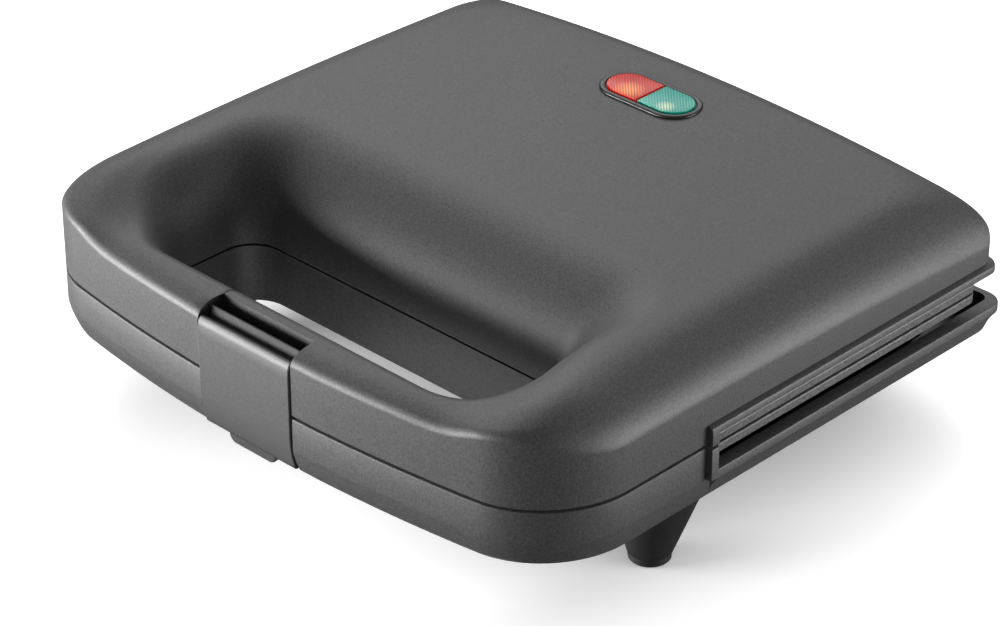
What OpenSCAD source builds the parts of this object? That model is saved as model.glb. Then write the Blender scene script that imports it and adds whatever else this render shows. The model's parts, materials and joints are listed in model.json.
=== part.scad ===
// Two-slice sandwich toaster with a hinged lid, a scooped finger hole and a hinged latch.
// Frame: X to the right, -Y the handle side, +Y the hinge side, +Z up.
// Origin: bottom centre of the closed toaster.  All sizes in millimetres.

/* [Housings] */
// Width over the side flanges
overall_w = 237.8; // [210:0.2:260]
// Depth from the latch face to the rear edge
overall_d = 217.7; // [205:1:240]
// How far the flanges stand out from the walls
flange_out = 2.3; // [1:0.1:4]
// Thickness of the flanges
flange_t = 3; // [2:0.1:4]
// Wall thickness of both housings
wall = 2.4; // [1.8:0.1:3.2]
// Height of the parting plane between lid and base
parting_z = 48; // [44:0.2:52]
// Gap between lid and base at the parting plane
parting_gap = 0.8; // [0.6:0.1:1.2]
// Radius of the bowed front in plan
front_r = 600; // [350:5:900]
// Radius of the front corners in plan
corner_r = 28.4; // [26:0.5:34]
// Radius of the lid's rear corners in plan
rear_r = 4; // [3:0.5:8]
// Distance from the front to where the open side slot starts
slot_start = 75; // [70:1:82]
// Width of the upright bead that ends the side slot
bead_w = 3; // [2:0.5:4]

/* [Lid] */
// Height of the lid's top at the front of the handle
lid_front_z = 73.5; // [70:0.5:78]
// Height of the lid's flat top towards the rear
lid_top_z = 85.6; // [82:0.1:94]
// Rise of the lid's top per millimetre of depth
lid_ramp = 0.085; // [0.06:0.005:0.12]
// How far the sides rise above the middle at the front
front_dish = 7.6; // [0:0.5:8]
// Height of the handle bar's crown
bar_z = 69.9; // [66:0.1:74]
// Half the length of the handle bar's level part
bar_hw = 70; // [50:1:80]
// How far the sides fall below the middle at the rear
rear_crown = 6.8; // [0:0.5:8]
// Width of the shoulder along the front
front_shoulder_w = 8.4; // [6:0.1:9]
// Height of the shoulder along the front
front_shoulder_h = 2.5; // [1:0.1:5]
// Width of the shoulder along the sides
side_shoulder_w = 22.5; // [12:0.1:23]
// Height of the shoulder along the sides
side_shoulder_h = 14; // [8:0.1:16]
// Width of the shoulder along the rear
rear_shoulder_w = 14.6; // [12:0.1:34]
// Height of the shoulder along the rear
rear_shoulder_h = 8.8; // [6:0.1:16]
// Distance from the rear edge of the base to the lid's rear wall
lid_rear_gap = 5.1; // [5:0.1:9]
// Height of the lid's lower edge along the slot
lid_slot_z = 52; // [51:0.2:54]

/* [Finger hole] */
// Distance from the housing's side to the finger hole
hole_side = 44.1; // [42.1:0.1:50]
// Distance from the front to the hole's front edge
hole_front = 22.5; // [20:0.5:26]
// Distance from the front to the hole's rear edge
hole_rear = 66.8; // [60:0.2:69]
// Radius of the hole's front corners
hole_front_r = 18; // [12:1:21]
// Radius of the hole's rear corners
hole_rear_r = 11.5; // [8:0.5:20]
// Reach of the scoop in front of the hole
scoop_front = 10.2; // [6:0.1:10.5]
// Reach of the scoop at the hole's sides
scoop_side = 19.5; // [10:0.1:20]
// Reach of the scoop behind the hole
scoop_rear = 32; // [20:0.5:40]
// Radius of the scoop's front corners
scoop_front_r = 34; // [24:0.5:36]
// Radius of the scoop's rear corners
scoop_rear_r = 24; // [16:0.5:32]

/* [Base] */
// Height of the base's underside
base_z = 26.3; // [25:0.1:28]
// How far the front wall leans in at the bottom
lean_front = 3.3; // [1:0.2:7]
// How far the side walls lean in at the bottom
lean_side = 3; // [0.5:0.1:4]
// Radius of the bottom edge
bottom_r = 3; // [1:0.5:4]
// Height of the base's upper edge along the slot
base_slot_z = 39.6; // [38:0.2:41]
// Radius of the base's rear corners
base_rear_r = 6; // [3:0.5:8]
// Radius of the cord inlet hole
inlet_r = 3.5; // [2.5:0.1:4]
// Distance of the cord inlet from the middle
inlet_x = 35; // [28:1:44]
// Gap between the bottom cover and the feet
cover_foot_gap = 2.3; // [0.5:0.1:6]
// Distance from the front to the bottom cover
cover_front = 84; // [80:1:92]
// Width of the bottom cover's flange
cover_flange = 5; // [3:0.5:6]
// Height of the bottom cover's underside
cover_z = 19.5; // [17:0.5:22]

/* [Feet] */
// Distance of the feet from the housing's side
foot_in = 20.1; // [17.6:0.1:30]
// How much nearer to the middle the rear feet stand
rear_foot_step = 28; // [24:0.5:34]
// Distance of the front feet from the front
foot_front = 73.5; // [60:0.5:90]
// Distance of the rear feet from the rear edge
foot_rear = 17; // [16:0.5:18]
// Radius of a foot at its lower end
foot_r = 7.2; // [5:0.1:9]
// Radius of a foot where it meets the base
foot_top_r = 14.2; // [11:0.1:16]
// Radius of a rubber pad
pad_r = 6.2; // [4:0.1:6.4]
// Height of a rubber pad
pad_h = 4; // [2.5:0.1:5]
// How far a pad stands out of its foot
pad_out = 1.6; // [1:0.1:2]

/* [Plates] */
// Gap between the plates and the housing's walls
plate_side_gap = 1.2; // [0.6:0.1:4]
// Gap between the plates and the hinge
plate_rear_gap = 1.2; // [1:0.1:6]
// Distance from the front to the plates
plate_front = 79; // [78.5:0.5:84]
// Thickness of the plates' rim
plate_rim = 3.4; // [2.5:0.1:4]
// Depth of the plates' pan below the rim
pan_h = 11; // [9:0.2:12]
// Thickness of the pan's wall
pan_t = 2.2; // [1.6:0.1:3]
// Depth of the sandwich pockets
pocket_h = 9.5; // [7:0.1:11]
// Width of the seal ridge between the pockets
ridge_w = 5; // [3:0.5:8]

/* [Heaters] */
// Radius of the heating tube
tube_r = 3.2; // [2.5:0.1:4]
// Bend radius of the heating tube
tube_bend = 20; // [12:0.5:24]
// Distance from the pan's long sides to the middle of the heating tube
tube_edge = 22; // [16:0.5:28]
// Distance from the pan's ends to the middle of the heating tube
tube_end = 39; // [30:0.5:46]

/* [Latch] */
// Distance of the latch from the middle, to the right
latch_x = -3.5; // [-6:0.5:6]
// Width of the latch
latch_w = 40.4; // [30:0.5:50]
// Gap at each side of the latch
latch_side_gap = 0.45; // [0.4:0.05:1]
// How far the latch face stands out from the front
latch_proud = 0.3; // [0.1:0.1:1]
// Thickness of the latch plate
latch_t = 3; // [2:0.1:4]
// Height of the latch's pivot
latch_pivot_z = 64.2; // [62:0.1:65]
// Radius of the latch's barrel round its pin
latch_barrel_r = 3; // [2.6:0.1:3.4]
// Distance of the pin behind the latch's face
latch_pivot_in = 6.3; // [6:0.1:7]
// Height where the latch's face bends back
latch_crease_z = 66; // [64:0.1:66.5]
// Height of the latch's upper edge
latch_top_z = 68.6; // [67:0.1:69]
// Height of the latch plate's lower edge
latch_low_z = 28.6; // [27:0.1:31]
// Width of the finger tab under the latch
tab_w = 21; // [14:0.5:30]
// Height of the tab's lower edge
tab_low_z = 25.4; // [24:0.1:28]
// Radius of the latch pin
latch_pin_r = 1.5; // [1:0.1:2]

/* [Hinge] */
// Distance from the rear edge to the hinge axis
hinge_in = 10.9; // [10.6:0.1:11.5]
// Distance of each hinge from the middle
hinge_x = 70; // [50:1:90]
// Width of the lid's hinge knuckle
knuckle_w = 20; // [12:1:26]
// Width of each hinge ear on the base
ear_w = 5; // [3:0.5:7]
// Radius of the knuckles
knuckle_r = 4.3; // [3.6:0.1:4.4]
// Radius of the hinge pins
hinge_pin_r = 2; // [1.5:0.1:2.4]

/* [Indicator] */
// Distance from the lid's rear wall to the lens centre
lens_in = 34.3; // [30:0.1:60]
// Half the length of the lens pair
lens_half = 17.3; // [12:0.5:22]
// Half the width of the lens pair
lens_r = 7.3; // [5:0.1:9]
// Width of the bezel round the lenses
bezel_w = 2.3; // [2:0.1:4]
// How far the bezel stands above the lid
bezel_out = 0.9; // [0.4:0.1:1.2]

/* [Fits] */
// Clearance round pieces that sit inside a housing
seat_gap = 0.2; // [0.1:0.05:0.4]
// Clearance between bodies that move past each other
move_gap = 0.35; // [0.3:0.05:0.6]
// Radial clearance of the pins in their bores
pin_gap = 0.05; // [0.02:0.01:0.1]

/* [Hidden] */

eps = 0.01;
body_hw = overall_w / 2 - flange_out;
front_y = -overall_d / 2 + latch_proud;
rear_y = overall_d / 2;
lid_rear_y = rear_y - lid_rear_gap;
bead_y = front_y + slot_start;
lid_rim_z = parting_z + parting_gap / 2;
base_rim_z = parting_z - parting_gap / 2;
notch_hw = latch_w / 2 + latch_side_gap;
latch_y0 = front_y - latch_proud;
pivot_y = latch_y0 + latch_pivot_in;
latch_sweep = norm([0.3, latch_top_z - latch_pivot_z]) + 0.1;
notch_y = pivot_y + latch_sweep + move_gap;
base_notch_y = latch_y0 + latch_t + 2.8;
hinge_y = rear_y - hinge_in;
hinge_z = parting_z;
plate_y0 = front_y + plate_front;
plate_y1 = hinge_y - knuckle_r - plate_rear_gap;
plate_d = plate_y1 - plate_y0;
plate_w = 2 * (body_hw - wall - plate_side_gap);
plate_yc = (plate_y0 + plate_y1) / 2;
lens_y = lid_rear_y - lens_in;
hole_half_w = body_hw - hole_side;
foot_x = body_hw - foot_in;
cover_hw = foot_x - foot_top_r - cover_foot_gap;
cover_d = plate_y1 - cover_flange - front_y - cover_front;
scoop = [scoop_front, scoop_side, scoop_rear];
scoop_r = [scoop_front_r, scoop_rear_r];
shoulder_w = [front_shoulder_w, side_shoulder_w, rear_shoulder_w];
shoulder_h = [front_shoulder_h, side_shoulder_h, rear_shoulder_h];
lid_rear_share = 0.8;

// ---------- plan outlines as spokes ----------
// Numbers of spokes along one half of the outline, from the front centre to the rear centre
n_front = 4;
n_corner = 9;
n_side = 3;
n_slot = 6;
n_rcorner = 5;
n_rear = 4;

// y of the bowed front, inset by v, at x
function bow_y(x, v) = front_y + front_r - sqrt(pow(front_r - v, 2) - x * x);

// Kinds of spoke: 0 notch, 1 front and corner, 2 side before the slot, 3 bead, 4 slot and rear
function spoke_kinds() = concat([0, 0, 0], [for (i = [0:n_front + n_corner]) 1],
    [for (i = [1:n_side]) 2], [3, 3], [for (i = [0:n_slot + n_rcorner + n_rear]) 4]);

// Half of the outer outline: insets [front, side, rear], corner radii [front, rear], rear wall ry
function outer_half(ins, rad, ry) =
    let (xc = body_hw - ins[1] - rad[0], yc = bow_y(body_hw - ins[1], ins[0] + rad[0]),
         yr = ry - ins[2] - rad[1], xs = body_hw - ins[1])
    concat(
        [for (x = [0, notch_hw / 2, notch_hw - eps]) [x, bow_y(x, ins[0])]],
        [for (i = [0:n_front]) let (x = notch_hw + (xc - notch_hw) * i / n_front) [x, bow_y(x, ins[0])]],
        [for (i = [1:n_corner]) let (a = 90 * i / n_corner, x = xs - rad[0] * (1 - sin(a)))
            [x, bow_y(x, ins[0] + rad[0] * (1 - cos(a)))]],
        [for (i = [1:n_side]) [xs, yc + (bead_y - yc) * i / n_side]],
        [[xs, bead_y + eps], [xs, bead_y + bead_w]],
        [for (i = [0:n_slot]) [xs, bead_y + bead_w + eps + (yr - bead_y - bead_w - eps) * i / n_slot]],
        [for (i = [1:n_rcorner]) let (b = 90 * i / n_rcorner)
            [xs - rad[1] * (1 - cos(b)), yr + rad[1] * sin(b)]],
        [for (i = [1:n_rear]) [(xs - rad[1]) * (1 - i / n_rear), ry - ins[2]]]);

// Half of the hole's outline grown by [front, side, rear] with corner radii [front, rear]
function hole_half(grow, rad) =
    let (y0 = front_y + hole_front - grow[0], y1 = front_y + hole_rear + grow[2],
         xs = hole_half_w + grow[1], m = n_side + 2, r = n_slot + 1 + n_rcorner)
    concat(
        [for (x = [0, notch_hw / 2, notch_hw - eps]) [x, y0]],
        [for (i = [0:n_front]) [notch_hw + (xs - rad[0] - notch_hw) * i / n_front, y0]],
        [for (i = [1:n_corner]) let (a = 90 * i / n_corner)
            [xs - rad[0] * (1 - sin(a)), y0 + rad[0] * (1 - cos(a))]],
        [for (i = [1:m]) [xs, y0 + rad[0] + (y1 - rad[1] - y0 - rad[0]) * i / m]],
        [for (i = [1:r]) let (b = 90 * i / r) [xs - rad[1] * (1 - cos(b)), y1 - rad[1] * (1 - sin(b))]],
        [for (i = [1:n_rear]) [(xs - rad[1]) * (1 - i / n_rear), y1]]);

// The whole ring from its right half
// The spokes beside the latch's notch stand latch_x off the middle
function notch_shift(i) = i <= 3 ? [latch_x, 0] : [0, 0];
function whole(half) = concat([for (i = [0:len(half) - 1]) half[i] + notch_shift(i)],
    [for (i = [len(half) - 2:-1:1]) [-half[i][0], half[i][1]] + notch_shift(i)]);
function whole_list(half) = concat(half, [for (i = [len(half) - 2:-1:1]) half[i]]);
function mix(a, b, t) = a + (b - a) * t;

kinds = whole_list(spoke_kinds());
n_ring = len(kinds);

// A closed solid from a list of rings that runs out, over, in, and back
function ring_faces(m, n) = [for (j = [0:m - 1]) for (i = [0:n - 1])
    let (a = j * n + i, b = j * n + (i + 1) % n, c = ((j + 1) % m) * n + (i + 1) % n,
         d = ((j + 1) % m) * n + i) each [[a, b, c], [a, c, d]]];
module rings(list) {
    polyhedron(points = [for (ring = list) each ring],
        faces = [for (f = ring_faces(len(list), n_ring)) [f[2], f[1], f[0]]], convexity = 10);
}

// ---------- lid surface ----------
function smooth_min(a, b, k) = let (h = max(0, min(1, 0.5 + 0.5 * (b - a) / k)))
    b * (1 - h) + a * h - k * h * (1 - h);
function soft_step(a, b, v) = let (t = max(0, min(1, (v - a) / (b - a)))) t * t * (3 - 2 * t);
function lid_top(x, y) = let (d = y - front_y,
        top = smooth_min(lid_front_z + lid_ramp * d, lid_top_z, 8)
            - (-front_dish + (rear_crown + front_dish) * d / 200) * pow(x / 117, 2),
        bar = (1 - soft_step(bar_hw, bar_hw + 38, abs(x))) * (1 - soft_step(14, 60, d)))
    top + (bar_z + 0.03 * d - top) * bar;

// Share of front, side and rear in a spoke, from the direction of its outline
function share(i) = let (r = outer_half([0, 0, 0], [corner_r, rear_r], lid_rear_y),
        k = min(i, n_ring - i), p = r[max(k - 1, 0)], q = r[min(k + 1, len(r) - 1)],
        t = (q - p) / norm(q - p))
    t[1] > 0.999 ? [0, 1, 0] : [k < len(r) / 2 ? t[0] * t[0] : 0, t[1] * t[1],
        k < len(r) / 2 ? 0 : t[0] * t[0]];
shares = [for (i = [0:n_ring - 1]) share(i)];

// One ring of the lid's shoulder at s from 0 (wall) to 1 (top), in by w and down by h
function shoulder_ring(s, w, h) =
    let (ring = whole(outer_half([w, w, w] + shoulder_w * s,
            [corner_r - w - 6 * s, rear_r - min(w, rear_r - 1.5) + 16 * s], lid_rear_y)))
    [for (i = [0:n_ring - 1]) let (p = ring[i], y = kinds[i] == 0 ? max(p[1], notch_y + w) : p[1],
            drop = shares[i] * shoulder_h)
        [p[0], y, lid_top(p[0], p[1]) - drop * pow(1 - s, 2) - h]];

// One ring of the scoop at q from 0 (hole) to 1 (rim), grown by w and down by h
function scoop_ring(q, w, h) =
    let (ring = whole(hole_half([w + scoop[0] * q, w + scoop[1] * q, w + scoop[2] * q],
            [mix(hole_front_r, scoop_r[0], q) + w, mix(hole_rear_r, scoop_r[1], q) + w])))
    [for (p = ring) [p[0], p[1],
        mix(lid_rim_z, lid_top(p[0], p[1]) - h, sqrt(max(0, 1 - pow(1 - q, 2))))]];

function mid_ring(a, b, t, h) = [for (i = [0:n_ring - 1])
    let (p = mix(a[i], b[i], t)) [p[0], p[1], lid_top(p[0], p[1]) - h]];

// A ring of the wall: out by o along the slot, of which the share rs at the rear,
// at height za where the slot is and zb elsewhere
function wall_ring(o, w, za, zb, rad_r, ry, ny, rs) =
    let (in = whole(outer_half([w, w, w], [corner_r - w, rad_r - min(w, rad_r - 1)], ry)),
         out = whole(outer_half([-o, -o, -o * rs], [corner_r + o, rad_r + o * rs], ry)))
    [for (i = [0:n_ring - 1]) let (k = kinds[i], p = k >= 3 && o != 0 ? out[i] : in[i])
        [p[0], k == 0 ? max(p[1], ny + w) : p[1], k == 4 ? za : zb]];

lid_flange_z = lid_slot_z + flange_t;
module lid_body() {
    s_list = [0, 0.05, 0.14, 0.28, 0.45, 0.7, 1];
    q_list = [1, 0.8, 0.6, 0.42, 0.26, 0.14, 0.05, 0];
    outer_in = shoulder_ring(1, 0, 0);
    scoop_out = scoop_ring(1, 0, 0);
    inner_in = shoulder_ring(0.5, wall, wall);
    inner_out = scoop_ring(0.6, wall, wall);
    inner_roof = [for (p = inner_out) [p[0], p[1], lid_top(p[0], p[1]) - wall - 0.3]];
    rings(concat(
        [wall_ring(flange_out, 0, lid_slot_z, lid_rim_z, rear_r, lid_rear_y, notch_y, lid_rear_share),
            wall_ring(flange_out, 0, lid_flange_z, lid_flange_z, rear_r, lid_rear_y, notch_y, lid_rear_share),
            wall_ring(0, 0, lid_flange_z + 0.3, lid_flange_z + 0.3, rear_r, lid_rear_y, notch_y, lid_rear_share)],
        [for (s = s_list) shoulder_ring(s, 0, 0)],
        [for (t = [0.2, 0.45, 0.7, 0.9]) mid_ring(outer_in, scoop_out, t, 0)],
        [for (q = q_list) scoop_ring(q, 0, 0)],
        [for (h = [0, cover_t + 1]) [for (p = scoop_ring(0, wall, 0)) [p[0], p[1], lid_rim_z + h]]],
        [for (q = [0.05, 0.25]) scoop_ring(q, wall, wall)],
        [inner_roof, mid_ring(inner_out, inner_in, 0.5, wall + 0.3)],
        [for (s = [0.5, 0.25, 0.06]) shoulder_ring(s, wall, wall)],
        [wall_ring(0, wall, lid_slot_z, lid_rim_z, rear_r, lid_rear_y, notch_y, lid_rear_share)]));
}

// ---------- base surface ----------
base_flange_z = base_slot_z - flange_t;
hole_flare = 1.5;
// How far the wall has leaned in at height z, as a share of the whole lean
function lean(z) = pow(max(0, min(1, (base_flange_z - z) / (base_flange_z - base_z))), 1.4);
function base_ring(z, w) =
    let (a = lean(z), f = [w + lean_front * a, w + lean_side * a, w + 0.6 * a],
         ring = whole(outer_half(f, [corner_r - w, max(base_rear_r - w, 0.6)], rear_y)))
    [for (i = [0:n_ring - 1]) let (p = ring[i])
        [p[0], kinds[i] == 0 ? max(p[1], base_notch_y + w) : p[1], z]];
function base_hole_ring(z, w, g) =
    [for (p = whole(hole_half([w + g, w + g, w + g], [hole_front_r + w + g, hole_rear_r + w + g]))) [p[0], p[1], z]];
function base_floor_ring(w, z) =
    let (ring = whole(outer_half([w + lean_front, w + lean_side, w + 0.6],
            [corner_r - w, max(base_rear_r - w, 0.6)], rear_y))) [for (p = ring) [p[0], p[1], z]];

module base_body() {
    rings(concat(
        [base_floor_ring(bottom_r, base_z)],
        [base_ring(base_z + 0.6, 0.9), base_ring(base_z + 1.6, 0.25)],
        [for (z = [base_z + bottom_r, mix(base_z, base_flange_z, 0.6), base_flange_z - 0.3]) base_ring(z, 0)],
        [wall_ring(flange_out, 0, base_flange_z, base_flange_z, base_rear_r, rear_y, base_notch_y, 0),
            wall_ring(flange_out, 0, base_slot_z, base_rim_z, base_rear_r, rear_y, base_notch_y, 0),
            wall_ring(0, wall, base_slot_z, base_rim_z, base_rear_r, rear_y, base_notch_y, 0)],
        [base_ring(base_flange_z - 0.3, wall), base_ring(base_z + wall, wall)],
        [base_hole_ring(base_z + wall, wall, hole_flare), base_hole_ring(base_rim_z, wall, 0),
            base_hole_ring(base_rim_z, 0, 0), base_hole_ring(base_z + bottom_r, 0, 0),
            base_hole_ring(base_z, 0, hole_flare)]));
}

// ---------- plain helpers ----------
// A block with round upright corners, centred in x and y
module slab(w, d, h, r) {
    linear_extrude(height = h) {
        square([w - 2 * r, d], center = true);
        square([w, d - 2 * r], center = true);
        for (i = [-1, 1]) {
            for (j = [-1, 1]) translate([i * (w / 2 - r), j * (d / 2 - r)]) circle(r = r, $fn = 32);
        }
    }
}

// A pill of half length l and radius r
module pill(l, r, h) {
    translate([-(l - r), 0, 0]) cylinder(r = r, h = h, $fn = 40);
    translate([l - r, 0, 0]) cylinder(r = r, h = h, $fn = 40);
    translate([-(l - r), -r, 0]) cube([2 * (l - r), 2 * r, h]);
}

// A wire's length between two points, run on a little at both ends
module rod(p, q, r) {
    v = (q - p) / norm(q - p);
    translate(p - v * r / 2) rotate([0, acos(v[2]), atan2(v[1], v[0])])
        cylinder(r = r, h = norm(q - p) + r, $fn = 10);
}

// A wire through points
module wire(points, r) {
    for (i = [0:len(points) - 2]) rod(points[i], points[i + 1], r);
}

// Mirrors a lower half's piece to the lid's side of the parting plane
module upper_side() {
    translate([0, 0, parting_z]) mirror([0, 0, 1]) translate([0, 0, -parting_z]) children();
}

// ---------- base pieces ----------
window_gap = seat_gap;
cover_yc = front_y + cover_front + cover_d / 2;
inlet_z = (base_z + wall + base_flange_z) / 2 + 0.2;
module base_shell() {
    color([0.2, 0.2, 0.21]) difference() {
        base_body();
        difference() {
            translate([0, cover_yc, base_z - 1])
                slab(2 * (cover_hw + window_gap), cover_d + 2 * window_gap, wall + 2, 6 + window_gap);
            rear_foot_room(cover_foot_gap - window_gap);
        }
        translate([inlet_x, rear_y - wall - 2, inlet_z]) rotate([-90, 0, 0])
            cylinder(r = inlet_r, h = wall + 4, $fn = 48);
    }
}

// The flat inner cover of one handle half, lying on the base's side of the parting plane
cover_t = 2;
screw_spots = [[body_hw - 22.6, 55], [hole_half_w - 28.5, plate_front - 4.1]];
module handle_cover(ny) {
    in = wall + seat_gap;
    difference() {
        translate([0, 0, base_rim_z - cover_t]) linear_extrude(height = cover_t)
            polygon(whole(outer_half([in, in, in], [corner_r - in, rear_r - 1], lid_rear_y)));
        translate([0, 0, base_rim_z - cover_t - 1]) linear_extrude(height = cover_t + 2)
            polygon(whole(hole_half([in, in, in], [hole_front_r + in, hole_rear_r + in])));
        translate([-body_hw, plate_y0 - 2 * seat_gap, base_rim_z - cover_t - 1])
            cube([2 * body_hw, overall_d, cover_t + 2]);
        translate([latch_x - notch_hw - in, front_y - 1, base_rim_z - cover_t - 1])
            cube([2 * (notch_hw + in), ny + in - front_y + 1, cover_t + 2]);
        for (i = [-1, 1]) {
            for (p = screw_spots) translate([i * p[0], front_y + p[1], base_rim_z - cover_t - 1])
                cylinder(r = screw_r + seat_gap, h = cover_t + 2, $fn = 32);
        }
    }
    // posts that take the cover's screws
    for (i = [-1, 1]) {
        for (p = screw_spots) translate([i * p[0], front_y + p[1], base_rim_z - cover_t - post_h])
            difference() {
                cylinder(r = post_r, h = post_h, $fn = 32);
                translate([0, 0, -1]) cylinder(r = screw_r + seat_gap, h = post_h + 2, $fn = 32);
            }
    }
}
screw_r = 1.5;
screw_head_r = 2.6;
screw_head_h = 1.8;
post_r = 3.4;
post_h = 7;
module base_handle_cover() {
    color([0.16, 0.16, 0.17]) handle_cover(base_notch_y);
}
module cover_screws() {
    for (i = [-1, 1]) {
        for (p = screw_spots) translate([i * p[0], front_y + p[1], base_rim_z - cover_t - post_h]) {
            translate([0, 0, 0]) cylinder(r = screw_r, h = post_h + 0.5, $fn = 24);
            translate([0, 0, -screw_head_h]) cylinder(r = screw_head_r, h = screw_head_h, $fn = 32);
        }
    }
}

rear_spots = [for (i = [-1, 1]) [i * (foot_x - rear_foot_step), rear_y - foot_rear]];
foot_spots = concat([for (i = [-1, 1]) [i * foot_x, front_y + foot_front]], rear_spots);
pad_gap = 0.1;
module feet() {
    color([0.13, 0.13, 0.14]) for (p = foot_spots) translate([p[0], p[1], 0]) difference() {
        translate([0, 0, pad_out]) cylinder(r1 = foot_r, r2 = foot_top_r, h = base_z - pad_out, $fn = 64);
        translate([0, 0, -1]) cylinder(r = pad_r + pad_gap, h = pad_h + 1 + pad_gap, $fn = 48);
    }
}
module foot_pads() {
    color([0.06, 0.06, 0.06]) for (p = foot_spots) translate([p[0], p[1], 0]) {
        translate([0, 0, 0.8]) cylinder(r = pad_r, h = pad_h - 0.8, $fn = 48);
        cylinder(r1 = pad_r - 0.8, r2 = pad_r, h = 0.8, $fn = 48);
    }
}

// The room that the cover leaves around the rear feet
module rear_foot_room(gap) {
    for (p = rear_spots) translate([p[0], p[1], 0]) cylinder(r = foot_top_r + gap, h = tray_top, $fn = 64);
}

// The tray that closes the base from below, with vents
tray_wall = 1.6;
tray_head_r = 2.2;
tray_top = base_z + wall + seat_gap;
vent_w = 3;
vent_l = 24;
vent_pitch = 9;
vent_count = 7;
module bottom_cover() {
    color([0.16, 0.16, 0.17]) difference() {
        union() {
            difference() {
                translate([0, cover_yc, cover_z]) slab(2 * cover_hw, cover_d, tray_top - cover_z, 6);
                rear_foot_room(cover_foot_gap);
            }
            translate([0, cover_yc, tray_top])
                slab(2 * (cover_hw + cover_flange), cover_d + 2 * cover_flange, tray_wall, 8);
        }
        difference() {
            translate([0, cover_yc, cover_z + tray_wall])
                slab(2 * (cover_hw - tray_wall), cover_d - 2 * tray_wall, tray_top - cover_z + tray_wall, 5);
            rear_foot_room(cover_foot_gap + tray_wall);
            for (p = boss_spots) translate([p[0], p[1], 0]) cylinder(r = seat_r, h = sheet_z, $fn = 40);
        }
        for (p = boss_spots) translate([p[0], p[1], cover_z + tray_wall]) cylinder(r = seat_in_r, h = 20, $fn = 32);
        for (i = [0:vent_count - 1]) {
            for (j = [-1, 1]) translate([(i - (vent_count - 1) / 2) * vent_pitch - vent_w / 2,
                cover_yc + j * (vent_l / 2 + 5) - vent_l / 2, cover_z - 1]) cube([vent_w, vent_l, tray_wall + 2]);
        }
        for (p = tray_screws) translate([p[0], p[1], tray_top - 1])
            cylinder(r = screw_r + seat_gap, h = tray_wall + 2, $fn = 24);
    }
}
tray_screws = [for (i = [-1, 1]) for (j = [-0.6, 0.6])
    [i * (cover_hw + cover_flange / 2 + 0.2), cover_yc + j * cover_d / 2]];
module base_screws() {
    color([0.7, 0.7, 0.72]) {
        cover_screws();
        for (p = tray_screws) translate([p[0], p[1], tray_top + tray_wall]) {
            translate([0, 0, -1.4]) cylinder(r = screw_r, h = 1.4, $fn = 24);
            cylinder(r = tray_head_r, h = 1.4, $fn = 32);
        }
    }
}

// ---------- cooking plates, lying on the base's side ----------
pan_w = plate_w - 12;
pan_d = plate_d - 6;
pan_z = base_rim_z - plate_rim - pan_h;
pocket_w = (pan_w - 2 * pan_t - ridge_w) / 2;
pocket_d = pan_d - 2 * pan_t;
pocket_taper = 5;
boss_h = 2 * tube_r + 0.9;
boss_r = 4;
boss_x = pan_w / 2 - 35;
tube_span = pan_d - 2 * tube_edge;
tube_leg = pan_w / 2 - tube_end - tube_bend;
boss_spots = [for (x = [-boss_x, boss_x]) for (y = [-0.3 * pan_d, 0.3 * pan_d]) [x, plate_yc + y]];

// One triangular pocket; s = 1 or -1 picks the half above or below the diagonal
module pocket(s) {
    e = ridge_w / 2;
    t = pocket_taper;
    a = [0, s > 0 ? pocket_d : 0];
    hull() {
        translate([0, 0, pocket_h - eps]) linear_extrude(height = eps + 1)
            polygon(s > 0 ? [[0, e * 2], [0, pocket_d], [pocket_w - e * 2, pocket_d]]
                : [[e * 2, 0], [pocket_w, pocket_d - e * 2], [pocket_w, 0]]);
        linear_extrude(height = eps)
            polygon(s > 0 ? [[t, e * 2 + 2.4 * t], [t, pocket_d - t], [pocket_w - e * 2 - 2.4 * t, pocket_d - t]]
                : [[e * 2 + 2.4 * t, t], [pocket_w - t, pocket_d - e * 2 - 2.4 * t], [pocket_w - t, t]]);
    }
}
module plate() {
    difference() {
        union() {
            translate([0, plate_yc, base_rim_z - plate_rim]) slab(plate_w, plate_d, plate_rim, 7);
            translate([0, plate_yc, pan_z]) slab(pan_w, pan_d, pan_h + 1, 10);
            for (p = boss_spots) translate([p[0], p[1], pan_z - boss_h]) cylinder(r = boss_r, h = boss_h + 1, $fn = 32);
        }
        for (s = [-1, 1]) {
            translate([ridge_w / 2, plate_yc - pocket_d / 2, base_rim_z - pocket_h]) pocket(s);
            mirror([1, 0, 0]) translate([ridge_w / 2, plate_yc - pocket_d / 2, base_rim_z - pocket_h]) pocket(s);
        }
        for (p = boss_spots) translate([p[0], p[1], pan_z - boss_h - 1]) cylinder(r = screw_r + pin_gap, h = 6, $fn = 32);
    }
}

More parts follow.
